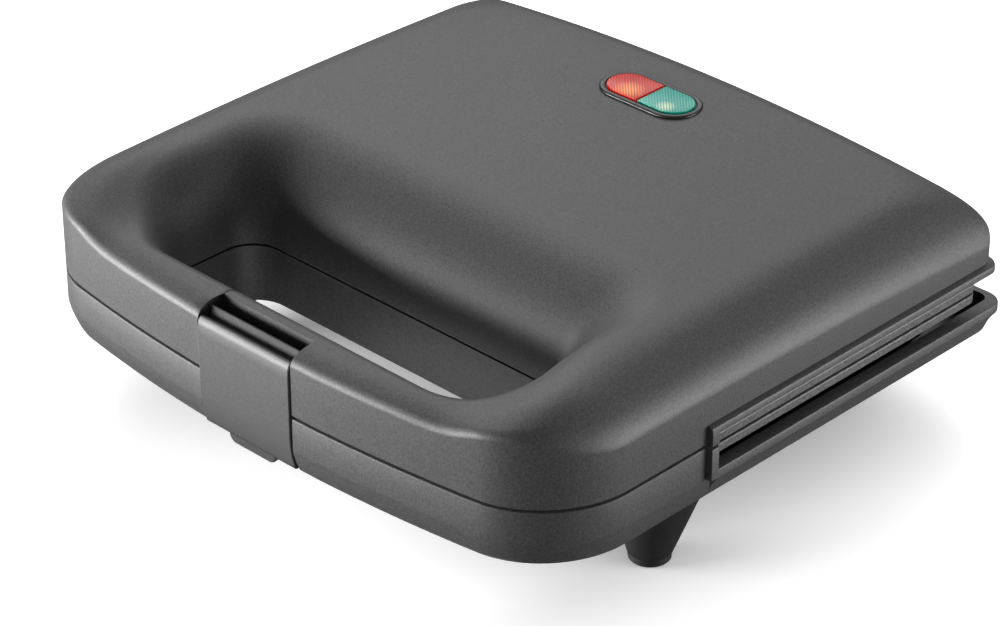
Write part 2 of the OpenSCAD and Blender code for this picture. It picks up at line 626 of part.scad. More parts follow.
// The bent heating tube under a plate's pan
tube_gap = 0.1;
tube_z = pan_z - tube_r - tube_gap;
pin_tube_r = 1.4;
pin_tube_l = 11;
module heater() {
    y1 = tube_span / 2;
    translate([0, plate_yc, tube_z]) {
        for (j = [-1, 1]) {
            translate([-tube_leg, j * y1, 0]) rotate([0, 90, 0]) cylinder(r = tube_r, h = 2 * tube_leg, $fn = 32);
            translate([tube_leg, j * (y1 - tube_bend), 0]) rotate([0, 0, j > 0 ? 0 : -90])
                rotate_extrude(angle = 90, $fn = 72) translate([tube_bend, 0]) circle(r = tube_r, $fn = 32);
            translate([-tube_leg, j * (y1 - tube_bend), 0]) rotate([0, 0, j > 0 ? 90 : 180])
                rotate_extrude(angle = 90, $fn = 72) translate([tube_bend, 0]) circle(r = tube_r, $fn = 32);
            translate([-tube_leg - tube_bend, j * (y1 - tube_bend), 0]) rotate([j > 0 ? 90 : -90, 0, 0]) {
                cylinder(r = tube_r, h = 4, $fn = 32);
                cylinder(r = pin_tube_r, h = pin_tube_l, $fn = 24);
            }
        }
        translate([tube_leg + tube_bend, -(y1 - tube_bend), 0]) rotate([-90, 0, 0])
            cylinder(r = tube_r, h = 2 * (y1 - tube_bend), $fn = 32);
    }
}

// The thin tray behind the tube that throws its heat back at the plate
sheet_t = 0.6;
sheet_gap = 1.5;
sheet_z = pan_z - boss_h - sheet_t;
seat_r = 5;
seat_in_r = screw_head_r + 0.3;
module reflector() {
    w = 2 * (cover_hw - tray_wall) - 2 * sheet_gap;
    d = min(cover_d - 2 * tray_wall, pan_d) - 4;
    difference() {
        translate([0, plate_yc, sheet_z]) slab(w, d, 4, 6);
        rear_foot_room(cover_foot_gap + tray_wall + sheet_gap);
        difference() {
            translate([0, plate_yc, sheet_z + sheet_t]) slab(w - 2 * sheet_t, d - 2 * sheet_t, 4, 5.4);
            rear_foot_room(cover_foot_gap + tray_wall + sheet_gap + sheet_t);
        }
        for (p = boss_spots) translate([p[0], p[1], sheet_z - 1])
            cylinder(r = screw_r + pin_gap, h = 3, $fn = 32);
    }
}
module plate_screws() {
    for (p = boss_spots) translate([p[0], p[1], pan_z - boss_h - sheet_t]) {
        cylinder(r = screw_r, h = 5, $fn = 24);
        translate([0, 0, -1.3]) cylinder(r = screw_head_r, h = 1.3, $fn = 32);
    }
}
module lower_plate() { color([0.1, 0.1, 0.1]) plate(); }
module lower_heater() { color([0.45, 0.43, 0.4]) heater(); }
module lower_reflector() { color([0.75, 0.75, 0.76]) reflector(); }
module lower_plate_screws() { color([0.7, 0.7, 0.72]) plate_screws(); }
module upper_plate() { color([0.1, 0.1, 0.1]) upper_side() plate(); }
module upper_heater() { color([0.45, 0.43, 0.4]) upper_side() heater(); }
module upper_reflector() { color([0.75, 0.75, 0.76]) upper_side() reflector(); }
module upper_plate_screws() { color([0.7, 0.7, 0.72]) upper_side() plate_screws(); }

// ---------- hinge ----------
ear_in = hinge_x - knuckle_w / 2 - move_gap;
ear_out = hinge_x + knuckle_w / 2 + move_gap;
ear_back = 2;
module at_hinge(x, w) {
    translate([x, hinge_y, hinge_z]) rotate([0, 90, 0]) cylinder(r = knuckle_r, h = w, $fn = 48);
}
module hinge_bore() {
    translate([-overall_w, hinge_y, hinge_z]) rotate([0, 90, 0])
        cylinder(r = hinge_pin_r + pin_gap, h = 2 * overall_w, $fn = 48);
}
module base_hinge_ears() {
    color([0.16, 0.16, 0.17]) difference() {
        for (i = [0, 1]) mirror([i, 0, 0]) {
            for (x = [ear_in - ear_w, ear_out]) {
                at_hinge(x, ear_w);
                translate([x, hinge_y - knuckle_r, base_z + wall])
                    cube([ear_w, knuckle_r + ear_back, hinge_z - base_z - wall - 1]);
            }
            translate([ear_in - ear_w, hinge_y - knuckle_r, base_z + wall])
                cube([2 * ear_w + knuckle_w + 2 * move_gap, knuckle_r + ear_back, 3]);
        }
        hinge_bore();
    }
}
module hinge_pins() {
    l = 2 * ear_w + knuckle_w + 2 * move_gap;
    color([0.7, 0.7, 0.72]) for (i = [0, 1]) mirror([i, 0, 0])
        translate([ear_in - ear_w, hinge_y, hinge_z]) rotate([0, 90, 0]) cylinder(r = hinge_pin_r, h = l, $fn = 48);
}
arm_h = 14;
module lid_hinge_arms() {
    y1 = lid_rear_y - wall - seat_gap - 0.5;
    color([0.16, 0.16, 0.17]) difference() {
        for (i = [0, 1]) mirror([i, 0, 0]) {
            at_hinge(hinge_x - knuckle_w / 2, knuckle_w);
            translate([hinge_x - knuckle_w / 2, y1 - 4.5, hinge_z + 2.6]) cube([knuckle_w, 4.5, arm_h]);
        }
        hinge_bore();
    }
}

// ---------- electrical pieces ----------
block_x = -12;
block_w = 34;
block_d = 8;
block_h = 8;
block_y0 = rear_y - wall - seat_gap - 0.7 - block_d;
module terminal_block() {
    color([0.9, 0.88, 0.8]) translate([block_x, block_y0, base_z + wall]) difference() {
        cube([block_w, block_d, block_h]);
        for (i = [0:2]) {
            translate([block_w * (i + 0.5) / 3, block_d / 2, 2]) cylinder(r = 1.8, h = block_h, $fn = 24);
            translate([block_w * (i + 0.5) / 3, -1, 4]) rotate([-90, 0, 0]) cylinder(r = 1.3, h = block_d + 2, $fn = 24);
        }
    }
}
module earth_tag() {
    color([0.8, 0.7, 0.35]) translate([-30, rear_y - wall - 10, base_z + wall]) difference() {
        union() {
            cylinder(r = 3.6, h = 0.8, $fn = 32);
            translate([0, -1.8, 0]) cube([10, 3.6, 0.8]);
        }
        translate([0, 0, -1]) cylinder(r = screw_r, h = 3, $fn = 24);
    }
}
wire_r = 1;
wire_gap = 0.3;
screw_edge = cover_hw + cover_flange / 2 + 0.2 + tray_head_r;
module base_wiring() {
    pitch = 2 * wire_r + 1;
    yc = plate_y1 - wire_r + 0.2;
    zb = base_z + wall + block_h / 2;
    zf = tray_top + tray_wall + wire_r + wire_gap;
    xe = tube_leg + tube_bend;
    xi = cover_hw - tray_wall - 3 * wire_r;
    color([0.75, 0.1, 0.1]) for (i = [0, 1]) {
        x = block_x + block_w * (i + 0.5) / 3;
        xs = -screw_edge - wire_gap - wire_r - pitch * i;
        ye = plate_yc + (i == 0 ? 1 : -1) * (tube_span / 2 - tube_bend - pin_tube_l - wire_r - wire_gap);
        drop = i == 0 ? [] : [[xs, yc - 0.2, zf]];
        wire(concat([[x, block_y0 + 1.5, zb], [x - 1, block_y0 - 2, zb], [x - 3, yc, zf + pitch * i],
            [xs, yc + 0.1, zf + pitch * i + 0.1]], drop, [[xs - 0.1, ye, zf], [-xi, ye + 0.2, zf + 0.1],
            [-xe, ye, tube_z]]), wire_r);
    }
}
module lid_wiring() {
    ze = holder_z - 1.25 * wire_r - 0.1;
    xl = lens_half / 2;
    yr = lens_y + lens_r + 2 * bezel_w;
    color([0.75, 0.1, 0.1]) for (i = [-1, 1]) {
        wire([[i * 4.6 * xl, lid_rear_y - wall - 6, ze - 12], [i * 4.6 * xl, lid_rear_y - wall - 11, ze - 2],
            [i * 1.6 * xl, yr, ze - 1], [i * xl, lens_y + 1, ze], [i * xl, lens_y - 2, ze]], wire_r);
    }
}

// The height of the upper plate's back
upper_back = 2 * parting_z - pan_z;
module thermostat() {
    color([0.85, 0.82, 0.72]) translate([0, plate_yc, upper_back]) {
        cylinder(r = 8, h = 4.5, $fn = 48);
        translate([0, 0, 4.5]) cylinder(r = 6, h = 1.6, $fn = 48);
        for (i = [-1, 1]) translate([i * 6.5 - 1.5, -0.4, 2]) cube([3, 0.8, 5]);
        difference() {
            translate([-2.5, -14, 0]) cube([5, 28, 0.8]);
            for (j = [-1, 1]) translate([0, j * 11.5, -1]) cylinder(r = screw_r, h = 3, $fn = 24);
        }
    }
}
module thermal_fuse() {
    color([0.82, 0.82, 0.84]) translate([30, plate_yc, upper_back]) {
        translate([0, -8, 2.4]) rotate([-90, 0, 0]) cylinder(r = 2, h = 16, $fn = 32);
        for (j = [-1, 1]) translate([0, j * 8 - 4, 2.4]) rotate([-90, 0, 0]) cylinder(r = 0.5, h = 8, $fn = 16);
        translate([-3, -3, 0]) cube([6, 6, 1]);
    }
}

// ---------- indicator ----------
lens_z = lid_top(0, lens_y);
lens_top = lens_z + bezel_out - 0.1;
lens_gap = 0.15;
bezel_skirt = 5;
holder_h = 3;
holder_z = lens_z - bezel_skirt - seat_gap - holder_h;
lamp_r = 2.4;
lens_h = 4.4;
cut_l = lens_half + bezel_w - 1;
cut_r = lens_r + bezel_w - 1;
module lid_seats() {
    for (p = boss_spots) translate([p[0], p[1], 2 * parting_z - sheet_z]) difference() {
        cylinder(r = seat_r, h = lid_top(p[0], p[1]) - wall / 2 - 2 * parting_z + sheet_z, $fn = 40);
        translate([0, 0, -1]) cylinder(r = seat_in_r, h = 4, $fn = 32);
    }
}
module lid_shell() {
    color([0.2, 0.2, 0.21]) difference() {
        union() {
            lid_body();
            lid_seats();
        }
        translate([0, lens_y, lens_z - 8]) pill(cut_l, cut_r, 12);
    }
}
module lamp_bezel() {
    color([0.03, 0.03, 0.03]) translate([0, lens_y, 0]) difference() {
        union() {
            translate([0, 0, lens_z + 0.3]) pill(lens_half + bezel_w, lens_r + bezel_w, bezel_out - 0.2);
            translate([0, 0, lens_z - bezel_skirt]) pill(cut_l - seat_gap, cut_r - seat_gap, bezel_skirt + 0.6);
        }
        translate([0, 0, lens_z - 7]) pill(lens_half + lens_gap, lens_r + lens_gap, 12);
    }
}
rib_count = 6;
module lens(s) {
    translate([0, lens_y, lens_top - lens_h]) {
        difference() {
            pill(lens_half, lens_r, lens_h);
            translate([s > 0 ? -lens_half - 1 : -0.1, -lens_r - 1, -1])
                cube([lens_half + 1.1, 2 * lens_r + 2, lens_h + 2]);
        }
        for (i = [0:rib_count - 1]) translate([s * (2 + i * 2), -lens_r + 2.2, lens_h - 0.2])
            rotate([-90, 0, 0]) cylinder(r = 0.55, h = 2 * lens_r - 4.4, $fn = 16);
    }
}
module red_lens() { color([0.85, 0.12, 0.08]) lens(-1); }
module green_lens() { color([0.1, 0.45, 0.38]) lens(1); }
module lamp_holder() {
    color([0.9, 0.88, 0.8]) translate([0, lens_y, holder_z]) difference() {
        pill(cut_l - seat_gap, cut_r - seat_gap, holder_h);
        for (s = [-1, 1]) translate([s * lens_half / 2, 0, -1])
            cylinder(r = lamp_r + seat_gap, h = holder_h + 2, $fn = 32);
    }
}
module lamps() {
    color([1, 0.7, 0.35]) for (s = [-1, 1]) translate([s * lens_half / 2, lens_y, holder_z]) {
        cylinder(r = lamp_r, h = holder_h - 0.3, $fn = 32);
        translate([0, 0, holder_h - 0.3]) sphere(r = 1.6, $fn = 24);
    }
}

// ---------- lid pieces ----------
module lid_handle_cover() {
    color([0.16, 0.16, 0.17]) upper_side() handle_cover(notch_y);
}
module lid_screws() {
    color([0.7, 0.7, 0.72]) upper_side() cover_screws();
}

// ---------- latch ----------
tab_r = 3;
hook_out = 0.85;
// The latch's side outline: a face that follows the housing, a bend back to the upper edge, and the back
latch_side = [[2.1, latch_low_z], [1.5, latch_low_z + 1.9], [0.75, latch_low_z + 4.9], [0.2, latch_low_z + 8.4],
    [0, latch_low_z + 12.4], [0, latch_crease_z - 5], [0.2, latch_crease_z - 2], [0.65, latch_crease_z - 0.4],
    [1.3, latch_crease_z + 0.4], [latch_pivot_in - 0.6, latch_top_z - 0.15], [latch_pivot_in - 0.1, latch_top_z],
    [latch_pivot_in + 0.3, latch_top_z - 0.5], [latch_pivot_in + 0.3, latch_pivot_z + 2],
    [latch_pivot_in, latch_pivot_z - latch_barrel_r + 0.4], [latch_t, latch_pivot_z - 5],
    [latch_t, latch_low_z + 12.4], [latch_t + 0.2, latch_low_z + 8.4], [latch_t + 0.75, latch_low_z + 4.9],
    [latch_t + 1.5, latch_low_z + 1.9], [latch_t + 2.1, latch_low_z]];
tab_y0 = latch_y0 + 2.5;
module latch() {
    color([0.18, 0.18, 0.19]) translate([latch_x, 0, 0]) difference() {
        union() {
            translate([-latch_w / 2, pivot_y, latch_pivot_z]) rotate([0, 90, 0])
                cylinder(r = latch_barrel_r, h = latch_w, $fn = 64);
            translate([-latch_w / 2, latch_y0, 0]) rotate([90, 0, 90]) linear_extrude(height = latch_w)
                polygon(latch_side);
            translate([-tab_w / 2 + tab_r, tab_y0, tab_low_z])
                cube([tab_w - 2 * tab_r, latch_t - 1, latch_low_z - tab_low_z + 2]);
            translate([-tab_w / 2, tab_y0, tab_low_z + tab_r])
                cube([tab_w, latch_t - 1, latch_low_z - tab_low_z - tab_r + 2]);
            for (i = [-1, 1]) translate([i * (tab_w / 2 - tab_r), tab_y0, tab_low_z + tab_r])
                rotate([-90, 0, 0]) cylinder(r = tab_r, h = latch_t - 1, $fn = 40);
            translate([-8, latch_y0 + latch_t - 1, 36.4]) cube([16, 1 + hook_out, 1.8]);
        }
        translate([-overall_w / 2, pivot_y, latch_pivot_z]) rotate([0, 90, 0])
            cylinder(r = latch_pin_r + pin_gap, h = overall_w, $fn = 40);
    }
}
pin_end = 0.15;
module latch_pin() {
    l = 2 * (notch_hw - pin_end);
    color([0.7, 0.7, 0.72]) translate([latch_x - l / 2, pivot_y, latch_pivot_z]) rotate([0, 90, 0])
        cylinder(r = latch_pin_r, h = l, $fn = 40);
}
module catch() {
    color([0.2, 0.2, 0.21]) translate([latch_x - 8, base_notch_y - 1, 40]) cube([16, 1, 1.8]);
}

base_shell();
base_handle_cover();
feet();
foot_pads();
lower_plate();
lower_heater();
lower_reflector();
lower_plate_screws();
base_hinge_ears();
hinge_pins();
terminal_block();
earth_tag();
bottom_cover();
base_screws();
base_wiring();
lid_shell();
lid_handle_cover();
lid_hinge_arms();
upper_plate();
upper_heater();
upper_reflector();
upper_plate_screws();
thermostat();
thermal_fuse();
lamp_holder();
lamps();
lamp_bezel();
red_lens();
green_lens();
lid_screws();
lid_wiring();
latch();
latch_pin();
catch();
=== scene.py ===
"""Dresses the sandwich toaster: housings, latch, lenses, feet, plates, light and camera."""

import json
import math

import bmesh
import bpy
import numpy as np
from mathutils import Euler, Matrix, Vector

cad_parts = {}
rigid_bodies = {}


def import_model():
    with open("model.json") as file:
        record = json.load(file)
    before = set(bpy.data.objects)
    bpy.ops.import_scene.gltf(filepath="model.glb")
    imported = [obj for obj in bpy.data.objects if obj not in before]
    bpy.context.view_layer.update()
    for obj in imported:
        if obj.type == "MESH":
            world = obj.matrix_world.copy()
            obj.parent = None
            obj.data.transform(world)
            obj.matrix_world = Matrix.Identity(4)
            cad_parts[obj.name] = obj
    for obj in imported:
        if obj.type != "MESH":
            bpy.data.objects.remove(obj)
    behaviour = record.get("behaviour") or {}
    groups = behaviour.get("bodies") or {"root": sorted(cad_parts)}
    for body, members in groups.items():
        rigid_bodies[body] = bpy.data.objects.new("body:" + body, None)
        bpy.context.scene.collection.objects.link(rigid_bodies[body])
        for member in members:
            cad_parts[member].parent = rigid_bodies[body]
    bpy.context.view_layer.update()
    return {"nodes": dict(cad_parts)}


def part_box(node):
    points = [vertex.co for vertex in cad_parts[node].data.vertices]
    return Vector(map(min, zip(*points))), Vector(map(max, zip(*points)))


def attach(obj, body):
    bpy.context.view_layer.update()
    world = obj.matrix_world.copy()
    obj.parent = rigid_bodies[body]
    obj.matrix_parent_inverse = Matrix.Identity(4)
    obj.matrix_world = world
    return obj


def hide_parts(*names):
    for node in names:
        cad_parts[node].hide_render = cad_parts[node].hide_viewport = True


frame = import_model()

MM = 0.001


def span(node):
    """A node's lowest and highest corners at rest, in millimetres."""
    return [[round(v / MM, 2) for v in corner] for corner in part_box(node)]


# ---------------------------------------------------------------- sizes, in millimetres
BASE_LOW, BASE_HIGH = span("base_shell")
LID_LOW, LID_HIGH = span("lid_shell")
LATCH_LOW, LATCH_HIGH = span("latch")
PIN_LOW, PIN_HIGH = span("latch_pin")
BEZEL_LOW, BEZEL_HIGH = span("lamp_bezel")

# Flange along the slot and the rear, and the housings' wall
FLANGE_OUT = 2.3
FLANGE_T = 3.0
WALL = 2.4

# Plan: bow of the front, corner radii, and the bead where the slot begins
FRONT_R = 600.0
CORNER_R = 28.4
REAR_R = 4.0
SLOT_START = 75.0
BEAD_W = 3.0

# Heights of the rims at the parting line, and of the slot's two sides
LID_RIM_Z = LID_LOW[2]
BASE_RIM_Z = BASE_HIGH[2]
LID_SLOT_Z = 52.0
BASE_SLOT_Z = 39.6

# Lid's top: its ramp from the front to the rear, and how far its sides fall at DISH_HW
LID_FRONT_Z = 73.5
LID_TOP_Z = 85.6
LID_RAMP = 0.085
RAMP_BLEND = 8.0
FRONT_DISH = 7.6
REAR_CROWN = 6.8
DISH_RUN = 200.0
DISH_HW = 117.0

# Handle bar: height, slope, half width, length of its ends, and where it rises into the lid
BAR_Z = 69.9
BAR_SLOPE = 0.03
BAR_HW = 70.0
BAR_END = 38.0
BAR_REAR = (14.0, 60.0)

# Lid's shoulder at the front, side and rear: width, fall, and the rounding of its outer edge
SHOULDER_W = np.array([8.4, 22.5, 14.6])
SHOULDER_H = np.array([2.5, 14.0, 8.8])
SHOULDER_ROUND = np.array([2.0, 3.4, 3.2])
ROUND_SHARE = 0.24
# Change of the front and rear corner radii from the wall to the shoulder's top
SHOULDER_R = (-6.0, 16.0)
# Spacing of the shoulder's points at the ends of the bead
SHOULDER_STEP = 0.75

# Least radii of the rear corners inside the shoulder, the rim and the base
SHOULDER_LEAST_R = 1.5
RIM_LEAST_R = 1.0
BASE_LEAST_R = 0.6

# Finger hole: its edges from the front, its corner radii, and the scoop's reach and radii
HOLE_FRONT = 22.5
HOLE_REAR = 66.8
HOLE_SIDE = 44.1
HOLE_FRONT_R = 18.0
HOLE_REAR_R = 11.5
HOLE_FLARE = 1.5
SCOOP = (10.2, 19.5, 32.0)
SCOOP_R = (34.0, 24.0)

# Base: underside, how far its walls lean in on the way down, and its roundings
BASE_Z = BASE_LOW[2]
BASE_FLANGE_Z = BASE_SLOT_Z - FLANGE_T
LEAN_FRONT = 3.3
LEAN_SIDE = 3.0
LEAN_REAR = 0.6
BOTTOM_R = 3.0
BASE_REAR_R = 6.0

# Latch and the notch that it lies in
LATCH_X = (LATCH_LOW[0] + LATCH_HIGH[0]) / 2
LATCH_W = LATCH_HIGH[0] - LATCH_LOW[0]
LATCH_Y = LATCH_LOW[1]
LATCH_TOP_Z = LATCH_HIGH[2]
LATCH_LOW_Z = 28.6
LATCH_CREASE_Z = 66.0
LATCH_T = 3.0
LATCH_PROUD = 0.3
LATCH_BARREL_R = 3.0
LATCH_GAP = 0.45
LATCH_RIDGE_BACK = 0.3
PIVOT_Y = (PIN_LOW[1] + PIN_HIGH[1]) / 2
PIVOT_Z = (PIN_LOW[2] + PIN_HIGH[2]) / 2
NOTCH_HW = LATCH_W / 2 + LATCH_GAP
NOTCH_Y = PIVOT_Y + math.hypot(LATCH_RIDGE_BACK, LATCH_TOP_Z - PIVOT_Z) + LATCH_GAP
BASE_NOTCH_Y = LATCH_Y + LATCH_T + 2.8
TAB_W = 21.0
TAB_LOW_Z = LATCH_LOW[2]
TAB_IN = 2.6
TAB_T = 2.0
TAB_R = 3.0

# Places of the housings' faces
BODY_HW = BASE_HIGH[0] - FLANGE_OUT
FRONT_Y = LATCH_Y + LATCH_PROUD
REAR_Y = BASE_HIGH[1]
LID_REAR_SHARE = 0.8
LID_REAR_Y = LID_HIGH[1] - FLANGE_OUT * LID_REAR_SHARE
BEAD_Y = FRONT_Y + SLOT_START
HOLE_HALF_W = BODY_HW - HOLE_SIDE

# Cooking plates' edges in the side slots
EDGE_REAR_Y = 95.8
EDGE_T = 3.1
EDGE_GAP = 0.7
EDGE_IN = 6.0
EDGE_OUT = 1.2
EDGE_R = 5.0

# Lenses and their bezel
LENS_Y = (BEZEL_LOW[1] + BEZEL_HIGH[1]) / 2
LENS_HALF = 17.3
LENS_R = 7.3
LENS_PROUD = 1.08
LENS_DEEP = 4.4
LENS_PART = 0.2
BEZEL_W = 2.3
BEZEL_GAP = 0.15
BEZEL_LIFT = 0.05
BEZEL_RISE = 0.72
BEZEL_DEEP = 5.0
BEZEL_T = 1.4
RIB_PITCH = 1.0
RIB_COUNT = 15
RIB_R = 0.42
RIB_FIRST = 1.4
RIB_DOWN = 0.38

# Feet and their pads
FOOT_X = 96.5
FOOT_FRONT = 73.5
FOOT_REAR = 17.0
REAR_FOOT_STEP = 28.0
FOOT_LEAN = 4.0
FOOT_R = 7.2
FOOT_TOP_R = 14.2
PAD_R = 6.2
PAD_H = 4.0
PAD_OUT = 2.8

# Fine stripes on the lenses: direction across them, and their spacing
STRIPE_ACROSS = (0.717, 0.697, 0.0)
STRIPE_PITCH = 0.92

# Floor, in metres, and camera: place from the front's middle, turns in degrees, lens and sensor
FLOOR_HW = 6.0
CAMERA_PLACE = (0.69731, -0.60932, 0.6225)
CAMERA_DOWN = 30.56
CAMERA_ROUND = 44.22
CAMERA_LENS = 129.65
CAMERA_SENSOR = 36.0

# What a point of an outline belongs to, and the gap across a step between two of them
NOTCH, FRONT, SIDE, BEAD, SLOT = range(5)
STEP = 0.01

# Numbers of points along half of an outline, from the front centre to the rear centre
N_NOTCH = 4
N_FRONT = 16
N_CORNER = 22
N_SIDE = 8
N_BEAD = 2
N_SLOT = 26
N_REAR_CORNER = 10
N_REAR = 22


# ---------------------------------------------------------------- plan outlines
def bow_y(x, inset):
    """y of the bowed front at x, moved in by inset."""
    return FRONT_Y + FRONT_R - np.sqrt((FRONT_R - inset) ** 2 - x * x)


def kinds_half():
    """What each point of half an outline belongs to: notch, front, side, bead or slot."""
    return np.array(
        [NOTCH] * (N_NOTCH + 1)
        + [FRONT] * (N_FRONT + 1 + N_CORNER)
        + [SIDE] * N_SIDE
        + [BEAD] * (N_BEAD + 1)
        + [SLOT] * (N_SLOT + 1 + N_REAR_CORNER + N_REAR)
    )


def outer_half(inset, radius, rear, step=STEP):
    """The right half of a housing's outline; inset is front, side and rear."""
    xs = BODY_HW - inset[1]
    xc = xs - radius[0]
    yc = bow_y(xs, inset[0] + radius[0])
    yr = rear - inset[2] - radius[1]
    notch = np.linspace(0, NOTCH_HW - STEP, N_NOTCH + 1)
    front = np.linspace(NOTCH_HW, xc, N_FRONT + 1)
    a = np.linspace(0, math.pi / 2, N_CORNER + 1)[1:]
    corner = xs - radius[0] * (1 - np.sin(a))
    x = [notch, front, corner]
    y = [
        bow_y(notch, inset[0]),
        bow_y(front, inset[0]),
        bow_y(corner, inset[0] + radius[0] * (1 - np.cos(a))),
    ]
    side = np.linspace(yc, BEAD_Y, N_SIDE + 1)[1:]
    bead = np.linspace(BEAD_Y + step, BEAD_Y + BEAD_W, N_BEAD + 1)
    slot = np.linspace(BEAD_Y + BEAD_W + step, yr, N_SLOT + 1)
    for run in (side, bead, slot):
        x.append(np.full(len(run), xs))
        y.append(run)
    b = np.linspace(0, math.pi / 2, N_REAR_CORNER + 1)[1:]
    x.append(xs - radius[1] * (1 - np.cos(b)))
    y.append(yr + radius[1] * np.sin(b))
    x.append(np.linspace(xs - radius[1], 0, N_REAR + 1)[1:])
    y.append(np.full(N_REAR, rear - inset[2]))
    return np.stack([np.concatenate(x), np.concatenate(y)], 1)


def hole_half(grow, radius):
    """The right half of the finger hole's outline, grown by front, side and rear."""
    y0 = FRONT_Y + HOLE_FRONT - grow[0]
    y1 = FRONT_Y + HOLE_REAR + grow[2]
    xs = HOLE_HALF_W + grow[1]
    n_side = N_SIDE + N_BEAD + 1
    n_corner = N_SLOT + 1 + N_REAR_CORNER
    notch = np.linspace(0, NOTCH_HW - STEP, N_NOTCH + 1)
    front = np.linspace(NOTCH_HW, xs - radius[0], N_FRONT + 1)
    a = np.linspace(0, math.pi / 2, N_CORNER + 1)[1:]
    b = np.linspace(0, math.pi / 2, n_corner + 1)[1:]
    x = np.concatenate(
        [
            notch,
            front,
            xs - radius[0] * (1 - np.sin(a)),
            np.full(n_side, xs),
            xs - radius[1] * (1 - np.cos(b)),
            np.linspace(xs - radius[1], 0, N_REAR + 1)[1:],
        ]
    )
    y = np.concatenate(
        [
            np.full(len(notch) + len(front), y0),
            y0 + radius[0] * (1 - np.cos(a)),
            np.linspace(y0 + radius[0], y1 - radius[1], n_side + 1)[1:],
            y1 - radius[1] * (1 - np.sin(b)),
            np.full(N_REAR, y1),
        ]
    )
    return np.stack([x, y], 1)


def whole(half):
    """A closed outline from its right half."""
    mirrored = half[-2:0:-1].copy()
    if mirrored.ndim == 1:
        return np.concatenate([half, mirrored])
    mirrored[:, 0] *= -1
    outline = np.concatenate([half, mirrored])
    # The notch's points follow the latch, which is off the middle
    outline[: N_NOTCH + 2, 0] += LATCH_X
    outline[-N_NOTCH - 1 :, 0] += LATCH_X
    return outline


KINDS = whole(kinds_half())


def ring(plan, z):
    """A ring of points from a plan outline and its heights."""
    return np.column_stack([plan, np.broadcast_to(z, len(plan))])


def notched(points, y):
    """Moves the ring's points in the latch's notch back to y."""
    out = points.copy()
    in_notch = KINDS == NOTCH
    out[in_notch, 1] = np.maximum(out[in_notch, 1], y)
    return out


# ---------------------------------------------------------------- lid surface
def smooth_min(a, b, k):
    """The lesser of two heights, blended over k."""
    h = np.clip(0.5 + 0.5 * (b - a) / k, 0, 1)
    return b * (1 - h) + a * h - k * h * (1 - h)


def soft_step(a, b, v):
    """Runs from 0 at a to 1 at b with eased ends."""
    t = np.clip((v - a) / (b - a), 0, 1)
    return t * t * (3 - 2 * t)


def lid_top(x, y):
    """Height of the lid's top at x, y: a ramp with dished sides, and the lower handle bar."""
    d = y - FRONT_Y
    ramp = smooth_min(LID_FRONT_Z + LID_RAMP * d, LID_TOP_Z, RAMP_BLEND)
    fall = -FRONT_DISH + (REAR_CROWN + FRONT_DISH) * d / DISH_RUN
    top = ramp - fall * (x / DISH_HW) ** 2
    bar = 1 - soft_step(BAR_HW, BAR_HW + BAR_END, np.abs(x))
    bar = bar * (1 - soft_step(*BAR_REAR, d))
    return top + (BAR_Z + BAR_SLOPE * d - top) * bar


def outline_shares():
    """Share of front, side and rear in each point of the outline, from its direction."""
    plan = whole(outer_half([0, 0, 0], [CORNER_R, REAR_R], LID_REAR_Y))
    along = np.roll(plan, -1, 0) - np.roll(plan, 1, 0)
    along /= np.linalg.norm(along, axis=1)[:, None]
    front = plan[:, 1] < 0
    across = along[:, 0] ** 2
    return np.column_stack([across * front, along[:, 1] ** 2, across * ~front])


SHARES = outline_shares()


def shoulder_ring(s, w=0.0, down=0.0):
    """A ring of the lid's shoulder, s from 0 at the wall to 1 at the top."""
    radii = [
        CORNER_R - w + SHOULDER_R[0] * s,
        max(REAR_R - w, SHOULDER_LEAST_R) + SHOULDER_R[1] * s,
    ]
    plan = whole(outer_half(w + SHOULDER_W * s, radii, LID_REAR_Y, SHOULDER_STEP))
    edge = max(0.0, 1 - s / ROUND_SHARE)
    fall = SHOULDER_H * (1 - s) ** 2 + SHOULDER_ROUND * (1 - math.sqrt(1 - edge**2))
    z = lid_top(plan[:, 0], plan[:, 1]) - SHARES @ fall - down
    return notched(ring(plan, z), NOTCH_Y + w)


def scoop_ring(q, w=0.0, down=0.0):
    """A ring of the scoop, q from 0 at the finger hole to 1 at the rim."""
    radii = [
        HOLE_FRONT_R + (SCOOP_R[0] - HOLE_FRONT_R) * q + w,
        HOLE_REAR_R + (SCOOP_R[1] - HOLE_REAR_R) * q + w,
    ]
    plan = whole(hole_half([w + reach * q for reach in SCOOP], radii))
    rise = math.sqrt(max(0.0, 1 - (1 - q) ** 2))
    top = lid_top(plan[:, 0], plan[:, 1]) - down
    return ring(plan, LID_RIM_Z + (top - LID_RIM_Z) * rise)


def between(a, b, t, down=0.0):
    """A ring between two others, laid on the lid's top."""
    out = a + (b - a) * t
    out[:, 2] = lid_top(out[:, 0], out[:, 1]) - down
    return out


def wall_ring(out, w, z_slot, z_else, radius, rear, notch, rear_share):
    """A ring of a housing's wall; along the slot it stands out and has its own height."""
    inner = whole(outer_half([w, w, w], [CORNER_R - w, max(radius - w, RIM_LEAST_R)], rear))
    back = out * rear_share
    outer = whole(outer_half([-out, -out, -back], [CORNER_R + out, radius + back], rear))
    in_slot = (KINDS >= BEAD) & (out != 0)
    plan = np.where(in_slot[:, None], outer, inner)
    return notched(ring(plan, np.where(KINDS == SLOT, z_slot, z_else)), notch + w)


def rounded_edge(section, *wall_args):
    """Rings of a flange's edge: in from its lip, in from the wall, height at the slot and else."""
    return [wall_ring(FLANGE_OUT - lip, *place, *wall_args) for lip, *place in section]


